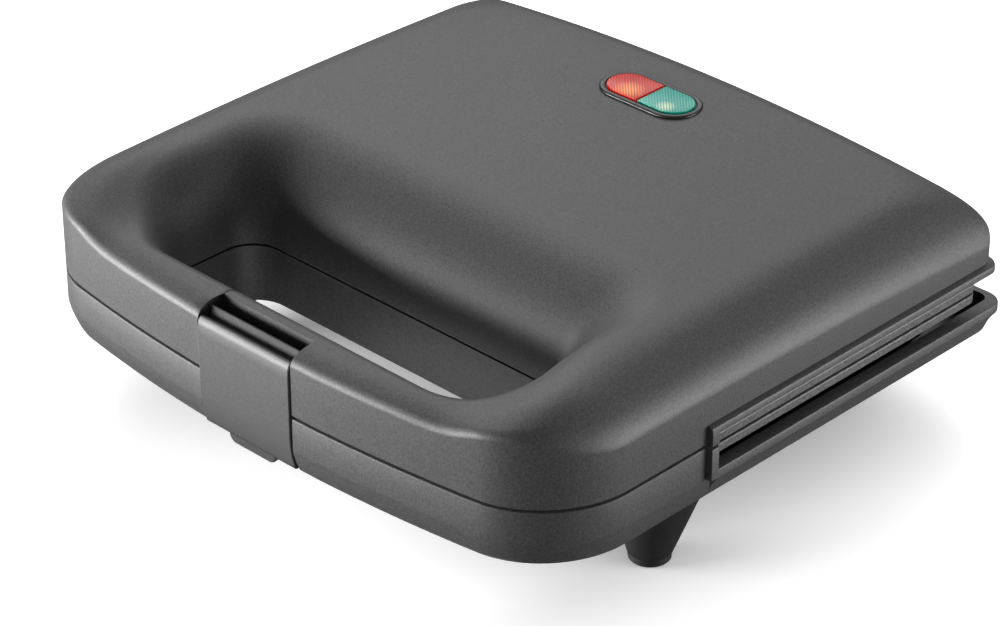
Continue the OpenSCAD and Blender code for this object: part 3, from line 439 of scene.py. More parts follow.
def lid_rings():
    """The lid's skin: up the wall, over the shoulder, down the scoop, and back inside."""
    flange_z = LID_SLOT_Z + FLANGE_T
    wall_args = (REAR_R, LID_REAR_Y, NOTCH_Y, LID_REAR_SHARE)
    rings = rounded_edge(
        [
            (0.5, 0.35, LID_SLOT_Z, LID_RIM_Z),
            (0.0, 0.0, LID_SLOT_Z + 0.5, LID_RIM_Z + 0.45),
            (0.0, 0.0, flange_z - 0.9, flange_z - 0.9),
            (0.3, 0.0, flange_z - 0.25, flange_z - 0.25),
            (0.9, 0.0, flange_z, flange_z),
            (FLANGE_OUT, 0.0, flange_z + 0.3, flange_z + 0.3),
        ],
        *wall_args,
    )
    turns = np.linspace(0, math.pi / 2, 9)
    rings += [shoulder_ring(ROUND_SHARE * (1 - math.cos(t))) for t in turns]
    rings += [shoulder_ring(s) for s in np.linspace(ROUND_SHARE, 1, 13)[1:]]
    top, rim = shoulder_ring(1), scoop_ring(1)
    rings += [between(top, rim, t) for t in np.linspace(0, 1, 14)[1:-1]]
    rings += [scoop_ring(q) for q in np.linspace(1, 0, 26) ** 1.5]

    # The inner side, a wall's thickness away
    hole_plan = scoop_ring(0, WALL)[:, :2]
    rings += [ring(hole_plan, LID_RIM_Z + rise) for rise in (0, 3)]
    rings += [scoop_ring(q, WALL, WALL) for q in (0.05, 0.25)]
    roof_down = WALL + 0.3
    near_hole, near_wall = scoop_ring(0.6, WALL, WALL), shoulder_ring(0.5, WALL, WALL)
    rings += [between(near_hole, near_wall, t, roof_down) for t in (0, 0.5)]
    rings += [shoulder_ring(s, WALL, WALL) for s in (0.5, 0.25, 0.06)]
    rings.append(wall_ring(0, WALL, LID_SLOT_Z, LID_RIM_Z, *wall_args))
    return rings


# ---------------------------------------------------------------- base surface
def base_ring(z, w, out=0.0):
    """A ring of the base's leaning wall at height z, in by w; out runs it into the flange."""
    share = (BASE_FLANGE_Z - z) / (BASE_FLANGE_Z - BASE_Z)
    lean = max(0.0, min(1.0, share)) ** 1.4
    inset = [w + most * lean for most in (LEAN_FRONT, LEAN_SIDE, LEAN_REAR)]
    radius = [CORNER_R - w, max(BASE_REAR_R - w, BASE_LEAST_R)]
    plan = whole(outer_half(inset, radius, REAR_Y))
    inset[1] -= out
    flared = whole(outer_half(inset, radius, REAR_Y))
    plan = np.where((KINDS == SLOT)[:, None], flared, plan)
    return notched(ring(plan, z), BASE_NOTCH_Y + w)


def base_hole_ring(z, w, grow=0.0):
    """A ring of the base's finger hole at height z."""
    g = w + grow
    plan = whole(hole_half([g, g, g], [HOLE_FRONT_R + g, HOLE_REAR_R + g]))
    return ring(plan, z)


def base_rings():
    """The base's skin: up the wall, over the rim, down inside, and up and down the hole."""
    floor_plan = whole(
        outer_half(
            [BOTTOM_R + lean for lean in (LEAN_FRONT, LEAN_SIDE, LEAN_REAR)],
            [CORNER_R - BOTTOM_R, BASE_REAR_R - BOTTOM_R],
            REAR_Y,
        )
    )
    rings = [ring(floor_plan, BASE_Z)]
    for a in np.linspace(0, math.pi / 2, 7)[1:]:
        height = BOTTOM_R * (1 - math.cos(a))
        rings.append(base_ring(BASE_Z + height, BOTTOM_R * (1 - math.sin(a))))
    low = BASE_Z + BOTTOM_R
    for t in (0.3, 0.5, 0.7, 0.85, 0.97):
        rings.append(base_ring(low + (BASE_FLANGE_Z - low) * t, 0, FLANGE_OUT * t**2.5))
    wall_args = (BASE_REAR_R, REAR_Y, BASE_NOTCH_Y, 0)
    rings += rounded_edge(
        [
            (0.0, 0.0, BASE_FLANGE_Z, BASE_FLANGE_Z),
            (0.0, 0.0, BASE_SLOT_Z - 0.6, BASE_RIM_Z - 0.6),
            (0.2, 0.15, BASE_SLOT_Z - 0.15, BASE_RIM_Z - 0.18),
            (0.6, 0.55, BASE_SLOT_Z, BASE_RIM_Z),
            (FLANGE_OUT, WALL, BASE_SLOT_Z, BASE_RIM_Z),
        ],
        *wall_args,
    )
    return rings + [
        base_ring(BASE_FLANGE_Z - 0.3, WALL),
        base_ring(BASE_Z + WALL, WALL),
        base_hole_ring(BASE_Z + WALL, WALL, HOLE_FLARE),
        base_hole_ring(BASE_RIM_Z, WALL),
        base_hole_ring(BASE_RIM_Z, 0),
        base_hole_ring(BASE_Z + BOTTOM_R, 0),
        base_hole_ring(BASE_Z + 1, 0, 0.4),
        base_hole_ring(BASE_Z, 0, HOLE_FLARE),
    ]


# ---------------------------------------------------------------- mesh helpers
def new_object(name, mesh, material):
    """An object of the mesh in one material, linked to the scene."""
    mesh.materials.clear()
    mesh.materials.append(material)
    obj = bpy.data.objects.new(name, mesh)
    bpy.context.collection.objects.link(obj)
    return obj


def smooth_mesh(bm, name, sharp=35.0):
    """Points the faces outwards, smooths them, marks sharp edges and ends the bmesh."""
    bmesh.ops.recalc_face_normals(bm, faces=bm.faces)
    for face in bm.faces:
        face.smooth = True
    for edge in bm.edges:
        if len(edge.link_faces) == 2:
            edge.smooth = edge.calc_face_angle(0.0) < math.radians(sharp)
    mesh = bpy.data.meshes.new(name)
    bm.to_mesh(mesh)
    bm.free()
    return mesh


def finish_mesh(bm, name, material, sharp=35.0):
    """The bmesh as a smoothed object."""
    return new_object(name, smooth_mesh(bm, name, sharp), material)


def loft(outlines, closed=False, bm=None):
    """A solid through equal outlines of (x, y, z) in millimetres: capped, or closed on itself."""
    if bm is None:
        bm = bmesh.new()
    rows = [[bm.verts.new([v * MM for v in p]) for p in outline] for outline in outlines]
    for a, b in zip(rows, rows[1:] + rows[:1] if closed else rows[1:]):
        for i in range(len(a)):
            k = (i + 1) % len(a)
            bm.faces.new((a[i], a[k], b[k], b[i]))
    if not closed:
        bm.faces.new(list(reversed(rows[0])))
        bm.faces.new(rows[-1])
    return bm


def arc(cx, cy, radius, start, end, steps):
    """Points of an arc round (cx, cy), angles in degrees."""
    turns = [math.radians(start + (end - start) * i / steps) for i in range(steps + 1)]
    return [(cx + radius * math.cos(a), cy + radius * math.sin(a)) for a in turns]


def apply_modifiers(obj):
    """Replaces the object's mesh by its modified one."""
    graph = bpy.context.evaluated_depsgraph_get()
    made = bpy.data.meshes.new_from_object(obj.evaluated_get(graph))
    obj.modifiers.clear()
    old = obj.data
    obj.data = made
    bpy.data.meshes.remove(old)
    return obj


def bevel(obj, width, segments=2, angle=40.0):
    """Rounds the edges sharper than an angle."""
    mod = obj.modifiers.new("edges", "BEVEL")
    mod.width = width * MM
    mod.segments = segments
    mod.limit_method = "ANGLE"
    mod.angle_limit = math.radians(angle)
    mod.use_clamp_overlap = True
    return apply_modifiers(obj)


# ---------------------------------------------------------------- materials
class Field:
    """A value in a node tree; arithmetic on it adds Math nodes."""

    def __init__(self, builder, socket):
        self.builder = builder
        self.socket = socket

    def __add__(self, other):
        return self.builder.math("ADD", self, other)

    def __radd__(self, other):
        return self.builder.math("ADD", other, self)

    def __sub__(self, other):
        return self.builder.math("SUBTRACT", self, other)

    def __rsub__(self, other):
        return self.builder.math("SUBTRACT", other, self)

    def __mul__(self, other):
        return self.builder.math("MULTIPLY", self, other)

    def __rmul__(self, other):
        return self.builder.math("MULTIPLY", other, self)

    def __truediv__(self, other):
        return self.builder.math("DIVIDE", self, other)

    def __rtruediv__(self, other):
        return self.builder.math("DIVIDE", other, self)

    def clamped(self):
        """Holds the value between 0 and 1."""
        return self.builder.math("ADD", self, 0.0, use_clamp=True)


class NodeBuilder:
    """Adds nodes to an emptied node tree."""

    def __init__(self, tree):
        self.tree = tree
        tree.nodes.clear()

    def node(self, kind, settings=None, inputs=None, out=0):
        """Adds a node: its settings first, then values or links of its sockets."""
        made = self.tree.nodes.new(kind)
        for key, value in (settings or {}).items():
            setattr(made, key, value)
        for key, value in (inputs or {}).items():
            if isinstance(value, Field):
                self.tree.links.new(value.socket, made.inputs[key])
            else:
                made.inputs[key].default_value = value
        return Field(self, made.outputs[out]) if made.outputs else None

    def math(self, operation, a, b=0.0, **settings):
        """Adds a Math node; b has no effect where the operation takes one value."""
        return self.node("ShaderNodeMath", {"operation": operation, **settings}, {0: a, 1: b})

    def axis(self, vector, name):
        """One of a vector's X, Y and Z."""
        return self.node("ShaderNodeSeparateXYZ", {}, {0: vector}, name)

    def vector(self, **values):
        """A vector from its X, Y and Z."""
        return self.node("ShaderNodeCombineXYZ", {}, values)


class Finish(NodeBuilder):
    """A material and the nodes of its surface, laid out in Object coordinates."""

    def __init__(self, name):
        self.material = bpy.data.materials.new(name)
        self.material.use_nodes = True
        super().__init__(self.material.node_tree)
        self.place = self.node("ShaderNodeTexCoord", out="Object")

    def noise(self, scale, detail, roughness=0.5):
        """Noise over the piece, scale in cells to a metre."""
        sizes = {"Scale": scale, "Detail": detail, "Roughness": roughness}
        return self.node("ShaderNodeTexNoise", {}, {"Vector": self.place, **sizes}, "Fac")

    def blend(self, factor, first, second):
        """Mixes two colours, each a Field or three numbers, by a factor."""
        sockets = {0: factor}
        for key, colour in ((6, first), (7, second)):
            sockets[key] = colour if isinstance(colour, Field) else (*colour, 1)
        return self.node("ShaderNodeMix", {"data_type": "RGBA"}, sockets, 2)

    def bump(self, height, strength, distance):
        """A normal raised by a height, distance in metres."""
        sockets = {"Height": height, "Strength": strength, "Distance": distance}
        return self.node("ShaderNodeBump", {}, sockets)

    def surface(self, **sockets):
        """Ends the material in a Principled surface."""
        named = {key.replace("_", " "): value for key, value in sockets.items()}
        shader = self.node("ShaderNodeBsdfPrincipled", {}, named)
        self.node("ShaderNodeOutputMaterial", {}, {"Surface": shader})
        return self.material


def grey(value):
    """A neutral colour."""
    return (value,) * 3


def moulded_plastic(name, dark, light, rough, grain=1.0, shade_from_y=None):
    """Moulded plastic with a spark-eroded grain; behind the y that is given, its colour is
    darkened as painted shade and it is duller.
    """
    finish = Finish(name)
    fine = finish.noise(1500, 2)
    coarse = finish.noise(800, 2)
    slow = finish.noise(14, 2)
    tone = (0.32 + 0.3 * slow + 2.4 * (fine - 0.5)).clamped()
    relief = fine + 0.6 * coarse
    roughness = rough - 0.05 + 0.1 * coarse
    colour = finish.blend(tone, dark, light)
    # Painted shade: behind that y, over the latch's channel and back, the colour falls to a fifth
    # of the dark tone
    if shade_from_y is not None:
        painted_shade_hollow = ((finish.axis(finish.place, "Y") - shade_from_y * MM) / MM).clamped()
        colour = finish.blend(painted_shade_hollow, colour, [0.2 * c for c in dark])
        roughness = roughness + 0.2 * painted_shade_hollow
    return finish.surface(
        Base_Color=colour,
        Roughness=roughness.clamped(),
        Normal=finish.bump(relief, 0.42 * grain, 0.00012),
    )


def nonstick_coating():
    """Black coating on cast aluminium, with pale specks and a slight orange peel."""
    finish = Finish("nonstick_coating")
    peel = finish.noise(260, 2)
    specks = finish.noise(2400, 1)
    speck_mask = ((specks - 0.66) * 9.0).clamped()
    return finish.surface(
        Base_Color=finish.blend(speck_mask, (0.018, 0.018, 0.019), (0.11, 0.11, 0.11)),
        Roughness=(0.30 + 0.14 * peel).clamped(),
        Normal=finish.bump(peel + 0.2 * specks, 0.25, 0.0002),
    )


def metal(name, dark, light, rough, scale):
    """Bare metal with cloudy changes of tone and gloss."""
    finish = Finish(name)
    streaks = finish.noise(scale, 4, 0.6)
    return finish.surface(
        Base_Color=finish.blend(streaks, dark, light),
        Roughness=(rough - 0.08 + 0.16 * streaks).clamped(),
        Metallic=1.0,
        Normal=finish.bump(streaks, 0.15, 0.0001),
    )


def plain(name, dark, light, scale, detail, rough, change, relief):
    """A surface whose tone, gloss and height change together; change is the gloss's range."""
    finish = Finish(name)
    tone = finish.noise(scale, detail)
    return finish.surface(
        Base_Color=finish.blend(tone, dark, light),
        Roughness=(rough + change * tone).clamped(),
        Normal=finish.bump(tone, relief, 0.0001),
    )


def lens_plastic(name, wall, face, glow, glow_at, glow_r):
    """Coloured lens: full colour on its walls, fine stripes on its face, and the lamp's glow."""
    finish = Finish(name)
    normal = finish.node("ShaderNodeNewGeometry", out="Normal")
    facing = ((finish.axis(normal, "Z") - 0.35) * 2.2).clamped()
    across = finish.node(
        "ShaderNodeVectorMath",
        {"operation": "DOT_PRODUCT"},
        {0: finish.place, 1: STRIPE_ACROSS},
        "Value",
    )
    stripes = 0.5 + 0.5 * finish.math("SINE", across * (2 * math.pi / (STRIPE_PITCH * MM)))
    away = finish.node(
        "ShaderNodeVectorMath",
        {"operation": "DISTANCE"},
        {0: finish.place, 1: glow_at},
        "Value",
    )
    near = (1.0 - away / glow_r).clamped()
    heat = (near * (0.3 + 1.3 * stripes) * facing).clamped()
    striped = finish.blend(stripes, [0.68 * c for c in face], [1.3 * c for c in face])
    return finish.surface(
        Base_Color=finish.blend(facing, wall, striped),
        Emission_Color=finish.blend(heat, [0.35 * c for c in wall], glow),
        Emission_Strength=0.6,
        Roughness=0.26,
        Specular_IOR_Level=0.2,
        Normal=finish.bump(stripes, 0.25, 0.0001),
    )


LENS_Z = float(lid_top(0.0, LENS_Y))
LENS_TOP = LENS_Z + LENS_PROUD

HOUSING = moulded_plastic("housing_plastic", grey(0.032), grey(0.071), 0.52)
# The latch's colour darkens from 1.4 mm behind its face as painted shade in its channel
LATCH_PLASTIC = moulded_plastic(
    "latch_plastic", grey(0.045), grey(0.066), 0.50, 0.4, LATCH_Y + 1.4
)
INNER = moulded_plastic("inner_plastic", grey(0.018), grey(0.030), 0.55)
FOOT_PLASTIC = moulded_plastic("foot_plastic", grey(0.012), grey(0.020), 0.45, 0.6)
BEZEL_PLASTIC = moulded_plastic("bezel_plastic", grey(0.008), grey(0.012), 0.36, 0.1)
EDGE_COAT = moulded_plastic("edge_coating", grey(0.045), grey(0.13), 0.42, 1.5)
RUBBER = plain("pad_rubber", grey(0.006), grey(0.014), 900, 3, 0.62, 0.16, 0.4)
NONSTICK = nonstick_coating()
STEEL = metal("zinc_steel", (0.45, 0.45, 0.46), (0.62, 0.62, 0.64), 0.35, 500)
TUBE = metal("tube_steel", (0.16, 0.14, 0.13), (0.34, 0.31, 0.28), 0.45, 300)
SHEET = metal("bright_sheet", (0.62, 0.62, 0.63), (0.76, 0.76, 0.77), 0.28, 240)
BRASS = metal("brass", (0.60, 0.44, 0.18), (0.74, 0.57, 0.27), 0.32, 400)
INSULATOR = plain(
    "insulator", (0.16, 0.145, 0.12), (0.24, 0.22, 0.185), 220, 3, 0.4, 0.2, 0.2
)
LEAD = plain(
    "lead_sleeve", (0.016, 0.015, 0.015), (0.028, 0.026, 0.025), 300, 2, 0.4, 0.15, 0.1
)
RED = lens_plastic(
    "red_lens",
    wall=(0.80, 0.022, 0.010),
    face=(0.52, 0.062, 0.052),
    glow=(1.0, 0.50, 0.12),
    glow_at=(-6.7 * MM, (LENS_Y - 3.4) * MM, LENS_Z * MM),
    glow_r=6.2 * MM,
)
GREEN = lens_plastic(
    "green_lens",
    wall=(0.002, 0.24, 0.17),
    face=(0.10, 0.42, 0.36),
    glow=(1.0, 0.74, 0.42),
    glow_at=(10.0 * MM, (LENS_Y - 4.0) * MM, LENS_Z * MM),
    glow_r=4.0 * MM,
)

# Nodes that keep the CAD's shape, by what they are made of
CARRIED = (
    (INNER, "base_handle_cover lid_handle_cover bottom_cover base_hinge_ears lid_hinge_arms"),
    (NONSTICK, "lower_plate upper_plate"),
    (TUBE, "lower_heater upper_heater"),
    (SHEET, "lower_reflector upper_reflector"),
    (STEEL, "lower_plate_screws upper_plate_screws base_screws lid_screws hinge_pins"),
    (STEEL, "latch_pin thermal_fuse"),
    (INSULATOR, "terminal_block thermostat lamp_holder lamps"),
    (BRASS, "earth_tag"),
    (LEAD, "base_wiring lid_wiring"),
    (HOUSING, "catch"),
)
for material, names in CARRIED:
    for name in names.split():
        slots = frame["nodes"][name].data.materials
        slots.clear()
        slots.append(material)


# ---------------------------------------------------------------- housings
def housing(name, rings, node, body):
    """A housing's closed skin from its rings, in place of the node."""
    bm = loft(rings, closed=True)
    bmesh.ops.remove_doubles(bm, verts=bm.verts, dist=2e-6)
    obj = bevel(finish_mesh(bm, name, HOUSING), 0.35)
    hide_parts(node)
    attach(obj, body)


housing("lid_housing", lid_rings(), "lid_shell", "lid")
housing("base_housing", base_rings(), "base_shell", "base")


# ---------------------------------------------------------------- latch
def latch_profile():
    """The latch's side outline: face, rounded bend, hollow, ridge, barrel and back."""
    low, bend, top, pivot = LATCH_LOW_Z, LATCH_CREASE_Z, LATCH_TOP_Z, PIVOT_Y - LATCH_Y
    curl = [(2.1, low), (1.5, low + 1.9), (0.75, low + 4.9), (0.2, low + 8.4), (0.0, low + 12.4)]
    face = [
        (0.0, bend - 5),
        (0.2, bend - 2),
        (0.65, bend - 0.4),
        (1.3, bend + 0.4),
        (1.9, bend + 0.55),
        (2.5, bend + 0.3),
        (3.0, bend - 0.5),
        (3.8, bend - 0.9),
        (4.7, bend - 0.5),
        (5.2, bend + 0.6),
        (5.5, top - 0.5),
        (pivot - 0.6, top - 0.15),
        (pivot - 0.1, top),
        (pivot + LATCH_RIDGE_BACK, top - 0.5),
        (pivot + LATCH_RIDGE_BACK, PIVOT_Z + 2.9),
    ]
    barrel = arc(pivot, PIVOT_Z, LATCH_BARREL_R, 70, -130, 20)
    inner = [(LATCH_T, PIVOT_Z - 5)] + [(LATCH_T + y, z) for y, z in reversed(curl)]
    return [(LATCH_Y + y, z) for y, z in curl + face + barrel + inner]


def tab_outline():
    """The tab's front outline, with its two lower corners rounded."""
    left, right, high = LATCH_X - TAB_W / 2, LATCH_X + TAB_W / 2, LATCH_LOW_Z + 1.5
    low = TAB_LOW_Z + TAB_R
    return [
        (right, high),
        (left, high),
        *arc(left + TAB_R, low, TAB_R, 180, 270, 8),
        *arc(right - TAB_R, low, TAB_R, 270, 360, 8),
    ]


latch = finish_mesh(
    loft([[(x, y, z) for y, z in latch_profile()] for x in (LATCH_LOW[0], LATCH_HIGH[0])]),
    "latch_clip",
    LATCH_PLASTIC,
)
bevel(latch, 0.35, 2, 50)
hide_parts("latch")
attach(latch, "latch")

tab = finish_mesh(
    loft([[(x, LATCH_Y + y, z) for x, z in tab_outline()] for y in (TAB_IN, TAB_IN + TAB_T)]),
    "latch_tab",
    INNER,
)
bevel(tab, 0.4, 2, 50)
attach(tab, "latch")


# ---------------------------------------------------------------- plate edges
def plate_edges(name, low):
    """The edges of a cooking plate that show in the side slots, one on each side."""
    front, inner, outer = BEAD_Y + BEAD_W + EDGE_GAP, BODY_HW - EDGE_IN, BODY_HW + EDGE_OUT
    side = [
        (inner, front),
        (outer, front),
        *arc(outer - EDGE_R, EDGE_REAR_Y - EDGE_R, EDGE_R, 0, 90, 8),
        (inner, EDGE_REAR_Y),
    ]
    bm = bmesh.new()
    for hand in (-1, 1):
        loft([[(hand * x, y, z) for x, y in side] for z in (low, low + EDGE_T)], bm=bm)
    return bevel(finish_mesh(bm, name, EDGE_COAT), 0.45, 3, 50)


for name, low, body in (
    ("upper_plate_edges", LID_RIM_Z, "lid"),
    ("lower_plate_edges", BASE_RIM_Z - EDGE_T, "base"),
):
    edges = plate_edges(name, low)
    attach(edges, body)


# ---------------------------------------------------------------- indicator
def pill_outline(grow):
    """The outline of the two lenses together, grown all round."""
    end, radius = LENS_HALF - LENS_R, LENS_R + grow
    return arc(end, LENS_Y, radius, -90, 90, 24) + arc(-end, LENS_Y, radius, 90, 270, 24)


def bezel_rings():
    """Rings of the bezel: up beside the lenses, over its rounded top, and down inside the lid."""
    reach, under = (BEZEL_W - BEZEL_GAP) / 2, BEZEL_W - BEZEL_T
    section = [(BEZEL_GAP, -BEZEL_DEEP)]
    for across, up in arc(0, 0, 1, 180, 0, 12):
        section.append((BEZEL_GAP + reach * (1 + across), BEZEL_LIFT + BEZEL_RISE * up))
    section += [(under, -0.2), (under, -BEZEL_DEEP)]
    return [[(x, y, LENS_Z + z) for x, y in pill_outline(grow)] for grow, z in section]


bezel = finish_mesh(loft(bezel_rings(), closed=True), "bezel_ring", BEZEL_PLASTIC, 50)
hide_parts("lamp_bezel")
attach(bezel, "lid")


def lens_rings(side):
    """Rings of one lens: a half pill that narrows to a rounded edge round its face."""
    rings = []
    for inset, down in ((0.15, LENS_DEEP), (0.25, 0.18), (0.32, 0.05), (0.45, 0.0)):
        flat, radius = LENS_PART + inset, LENS_R - inset
        half = [
            (flat, LENS_Y - radius),
            *arc(LENS_HALF - LENS_R, LENS_Y, radius, -90, 90, 20),
            (flat, LENS_Y + radius),
        ]
        rings.append([(side * x, y, LENS_TOP - down) for x, y in half])
    return rings


LENSES = ((-1, "red", RED), (1, "green", GREEN))
for side, label, material in LENSES:
    lens = finish_mesh(loft(lens_rings(side)), label + "_lens_body", material, 50)
    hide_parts(label + "_lens")
    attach(lens, "lid")


# ---------------------------------------------------------------- repeats by geometry nodes
class Tree(NodeBuilder):
    """A geometry node tree with named inputs."""

    def __init__(self, name, sizes):
        super().__init__(bpy.data.node_groups.new(name, "GeometryNodeTree"))
        faces = self.tree.interface
        faces.new_socket("Geometry", in_out="INPUT", socket_type="NodeSocketGeometry")
        faces.new_socket("Geometry", in_out="OUTPUT", socket_type="NodeSocketGeometry")
        self.ids = {}
        for label, kind, value in sizes:
            socket = faces.new_socket(label, in_out="INPUT", socket_type="NodeSocket" + kind)
            if value is not None:
                socket.default_value = value
            self.ids[label] = socket.identifier
        self.source = self.tree.nodes.new("NodeGroupInput")

    def size(self, label):
        """One of the tree's named inputs."""
        return Field(self, self.source.outputs[label])

    def sizes(self, **labels):
        """Sockets of a node, each fed by one of the named inputs."""
        return {socket.replace("_", " "): self.size(label) for socket, label in labels.items()}

    def finish(self, geometry):
        """Realises the instances, sets the material and ends the tree."""
        solid = self.node("GeometryNodeRealizeInstances", {}, {"Geometry": geometry})
        sockets = {"Geometry": solid, "Material": self.size("Material")}
        dressed = self.node("GeometryNodeSetMaterial", {}, sockets)
        self.node("NodeGroupOutput", {}, {"Geometry": dressed})
        return self


def run_tree(name, tree, material, values, bm=None):
    """Runs a tree on a piece and keeps the result as a plain mesh."""
    mesh = smooth_mesh(bm, name) if bm else bpy.data.meshes.new(name)
    obj = new_object(name, mesh, material)
    mod = obj.modifiers.new("form", "NODES")
    mod.node_group = tree.tree
    for label, value in {**values, "Material": material}.items():
        mod[tree.ids[label]] = value
    obj.data.update()
    apply_modifiers(obj)
    obj.data.materials.clear()
    obj.data.materials.append(material)
    for poly in obj.data.polygons:
        poly.material_index = 0
    return obj


def grid_tree():
    """Sets the piece out on a grid of points; the rear row steps in and is turned."""
    tree = Tree(
        "set_out_on_grid",
        [
            ("Width", "Float", 0.1),
            ("Depth", "Float", 0.1),
            ("Columns", "Int", 2),
            ("Rows", "Int", 2),
            ("Rear Step", "Float", 0.0),
            ("Rear Turn", "Float", 0.0),
            ("Centre", "Vector", (0, 0, 0)),
            ("Material", "Material", None),
        ],
    )
    counts = tree.sizes(Size_X="Width", Size_Y="Depth", Vertices_X="Columns", Vertices_Y="Rows")
    grid = tree.node("GeometryNodeMeshGrid", {}, counts)
    place = tree.node("GeometryNodeInputPosition")
    rear = tree.math("GREATER_THAN", tree.axis(place, "Y"))
    step = tree.math("SIGN", tree.axis(place, "X")) * rear * tree.size("Rear Step")
    stepped = tree.node(
        "GeometryNodeSetPosition", {}, {"Geometry": grid, "Offset": tree.vector(X=step)}
    )
    moved = tree.node(
        "GeometryNodeTransform", {}, {"Geometry": stepped, "Translation": tree.size("Centre")}
    )
    copies = tree.node(
        "GeometryNodeInstanceOnPoints",
        {},
        {
            "Points": moved,
            "Instance": tree.size("Geometry"),
            "Rotation": tree.vector(Z=rear * tree.size("Rear Turn")),
        },
    )
    return tree.finish(copies)


# ---------------------------------------------------------------- feet
def turned(section, lean=0.0, steps=64):
    """A round solid about z from (radius, z) in millimetres, leaning back above the pad."""
    rings = []
    for radius, z in section:
        back = lean * max(0.0, (z - PAD_H) / (BASE_Z - PAD_H))
        rings.append([(x, y, z) for x, y in arc(0, back, radius, 0, 360, steps)[:-1]])
    return loft(rings)


def foot_section():
    """The foot's section: a cup for the pad, a rounded lip and a flaring cone."""
    inner = PAD_R + 0.1
    section = [(inner - 3, PAD_H + 0.1), (inner, PAD_H + 0.1), (inner, PAD_OUT + 0.2)]
    section += [(inner + 0.2, PAD_OUT), (FOOT_R - 0.3, PAD_OUT), (FOOT_R, PAD_OUT + 0.3)]
    for t in np.linspace(0, 1, 13)[1:]:
        section.append((FOOT_R + (FOOT_TOP_R - FOOT_R) * t, PAD_OUT + (BASE_Z - PAD_OUT) * t))
    return section


def pad_section():
    """The pad's section: a rounded foot wider than the cup, and the plug inside it."""
    out = PAD_R + 0.6
    foot = [(out - 1.2, 0), (out - 0.4, 0.2), (out - 0.05, 0.6), (out, 1.2), (out, 2.7)]
    return foot + [(PAD_R, 2.9), (PAD_R, PAD_H)]


GRID = grid_tree()
front_y, rear_y = FRONT_Y + FOOT_FRONT, REAR_Y - FOOT_REAR
foot_places = {
    "Width": 2 * FOOT_X * MM,
    "Depth": (rear_y - front_y) * MM,
    "Columns": 2,
    "Rows": 2,
    "Rear Step": -REAR_FOOT_STEP * MM,
    "Rear Turn": math.pi,
    "Centre": (0, (rear_y + front_y) / 2 * MM, 0),
}

cone = turned(foot_section(), FOOT_LEAN)
feet = run_tree("foot_cones", GRID, FOOT_PLASTIC, foot_places, cone)
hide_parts("feet")
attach(feet, "base")

pads = run_tree("foot_rubbers", GRID, RUBBER, foot_places, turned(pad_section()))
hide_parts("foot_pads")
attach(pads, "base")


# ---------------------------------------------------------------- ribs on the lenses
def rib_tree():
    """Ribs side by side across a half pill, each as long as the pill is deep there."""
    tree = Tree(
        "lens_ribs",
        [
            ("Count", "Int", 12),
            ("First", "Vector", (0, 0, 0)),
            ("Step", "Vector", (0.001, 0, 0)),
            ("Arc start", "Float", 0.01),
            ("Arc radius", "Float", 0.007),
            ("Rib radius", "Float", 0.0004),
            ("Material", "Material", None),
        ],
    )
    points = tree.sizes(Count="Count", Start_Location="First", Offset="Step")
    line = tree.node("GeometryNodeMeshLine", {"mode": "OFFSET"}, points)
    rod = tree.node(
        "GeometryNodeMeshCylinder",
        {},
        {"Vertices": 10, "Radius": tree.size("Rib radius"), "Depth": 2.0},
    )
    place = tree.node("GeometryNodeInputPosition")
    reach = tree.math("ABSOLUTE", tree.axis(place, "X"))
    past = tree.math("MAXIMUM", reach - tree.size("Arc start"), 0.0)
    radius = tree.size("Arc radius")
    half = tree.math("SQRT", radius * radius - past * past)
    copies = tree.node(
        "GeometryNodeInstanceOnPoints",
        {},
        {
            "Points": line,
            "Instance": rod,
            "Rotation": (math.pi / 2, 0, 0),
            "Scale": tree.vector(X=1.0, Y=1.0, Z=half),
        },
    )
    return tree.finish(copies)


RIBS = rib_tree()
for side, label, material in LENSES:
    rib_places = {
        "Count": RIB_COUNT,
        "First": (side * RIB_FIRST * MM, LENS_Y * MM, (LENS_TOP - RIB_DOWN) * MM),
        "Step": (side * RIB_PITCH * MM, 0, 0),
        "Arc start": (LENS_HALF - LENS_R) * MM,
        "Arc radius": (LENS_R - 1.0) * MM,
        "Rib radius": RIB_R * MM,
    }
    ribs = run_tree(label + "_lens_ribs", RIBS, material, rib_places)
    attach(ribs, "lid")


# ---------------------------------------------------------------- floor, light and camera
def pale_floor():
    """Floor that is white to the camera, keeps the lamps' shadow with a painted shadow added where
    the part hides the sky, and throws little light back.
    """
    finish = Finish("pale_floor")
    seen = finish.node("ShaderNodeLightPath", out="Is Camera Ray")
    lit = finish.node("ShaderNodeBsdfDiffuse", {}, {"Color": (*grey(0.95), 1)})
    # Painted shadow: the floor's white glow darkens with ambient occlusion near the part
    open_sky = finish.node("ShaderNodeAmbientOcclusion", {"samples": 8}, {"Distance": 0.075}, "AO")
    painted_shadow = finish.blend(open_sky, grey(0.05), grey(1.0))
    glow = finish.node("ShaderNodeEmission", {}, {"Color": painted_shadow, "Strength": 0.78})
    white = finish.node("ShaderNodeAddShader", {}, {0: lit, 1: glow})
    mirrored = finish.node("ShaderNodeLightPath", out="Is Glossy Ray")
    tone = finish.blend(mirrored, grey(0.75), grey(0.2))
    matt = finish.node("ShaderNodeBsdfDiffuse", {}, {"Color": tone})
    both = finish.node("ShaderNodeMixShader", {}, {0: seen, 1: matt, 2: white})
    finish.node("ShaderNodeOutputMaterial", {}, {"Surface": both})
    return finish.material


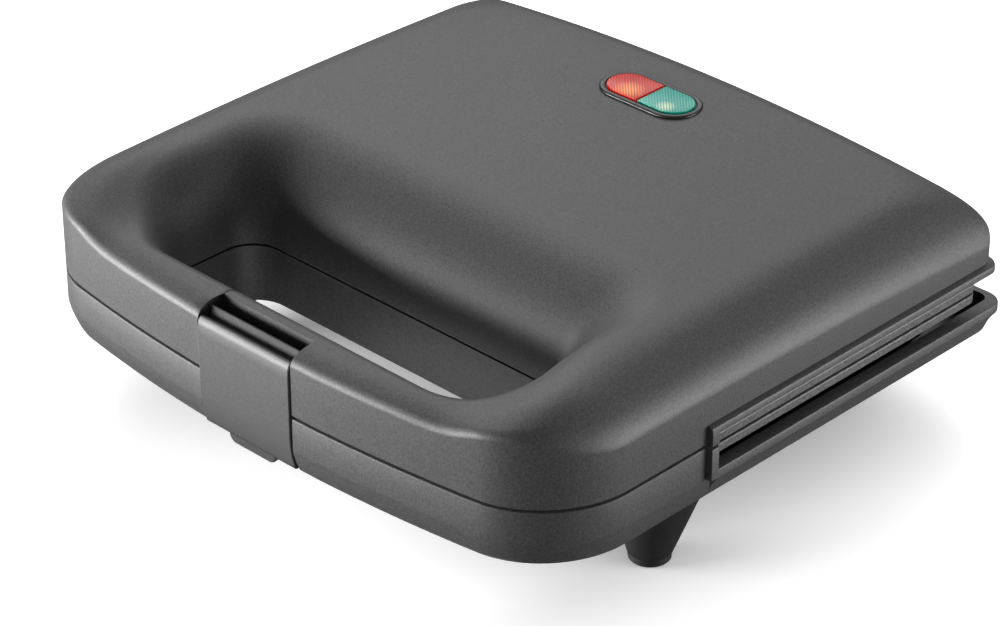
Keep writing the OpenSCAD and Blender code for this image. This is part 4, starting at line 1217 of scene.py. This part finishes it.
def studio_world():
    """Surroundings that are white to the camera and dim as a light."""
    world = bpy.data.worlds.new("studio")
    world.use_nodes = True
    sky = NodeBuilder(world.node_tree)
    camera_ray = sky.node("ShaderNodeLightPath", out="Is Camera Ray")
    through_ray = sky.node("ShaderNodeLightPath", out="Is Transmission Ray")
    seen = sky.math("MAXIMUM", camera_ray, through_ray)
    shares = {"Value": seen, "To Min": 0.17, "To Max": 1.0}
    strength = sky.node("ShaderNodeMapRange", {}, shares, "Result")
    white = {"Color": (*grey(1.0), 1), "Strength": strength}
    sky.node("ShaderNodeOutputWorld", {}, {"Surface": sky.node("ShaderNodeBackground", {}, white)})
    return world


def area_light(name, place, target, size, power):
    """A soft box that looks at a target, unseen by the camera; metres and watts."""
    lamp = bpy.data.lights.new(name, "AREA")
    lamp.shape = "RECTANGLE"
    lamp.size, lamp.size_y = size
    lamp.energy = power
    obj = bpy.data.objects.new(name, lamp)
    bpy.context.collection.objects.link(obj)
    obj.location = place
    aim = Vector(target) - Vector(place)
    obj.rotation_euler = aim.to_track_quat("-Z", "Y").to_euler()
    obj.visible_camera = False


floor_mesh = bpy.data.meshes.new("floor")
corners = [(x * FLOOR_HW, y * FLOOR_HW, 0) for x, y in ((-1, -1), (1, -1), (1, 1), (-1, 1))]
floor_mesh.from_pydata(corners, [], [(0, 1, 2, 3)])
floor = new_object("floor", floor_mesh, pale_floor())
bpy.context.scene.world = studio_world()

# Cards low at the sides, a small box beside the part, one under the finger hole, and the main box
area_light("left_card", (-0.46, -0.58, 0.02), (0.0, -0.1, 0.34), (0.5, 0.4), 28.0)
area_light("right_card", (0.62, 0.30, 0.02), (0.1, -0.02, 0.32), (0.5, 0.5), 10.3)
area_light("near_box", (-0.48, 0.30, 0.36), (-0.1, 0.0, 0.08), (0.25, 0.25), 0.2)
area_light("floor_glow", (0.02, -0.078, 0.004), (0.02, -0.077, 0.1), (0.13, 0.03), 0.028)
area_light("top_box", (-0.62, 0.70, 1.0), (0, 0, 0.05), (1.4, 1.1), 11.5)

camera_data = bpy.data.cameras.new("camera")
camera_data.sensor_width = CAMERA_SENSOR
camera_data.lens = CAMERA_LENS
camera = bpy.data.objects.new("camera", camera_data)
bpy.context.collection.objects.link(camera)
camera.location = Vector(CAMERA_PLACE) + Vector((0, FRONT_Y * MM, 0))
camera.rotation_euler = Euler((math.radians(90 - CAMERA_DOWN), 0, math.radians(CAMERA_ROUND)))
bpy.context.scene.camera = camera
bpy.context.scene.view_settings.view_transform = "Standard"
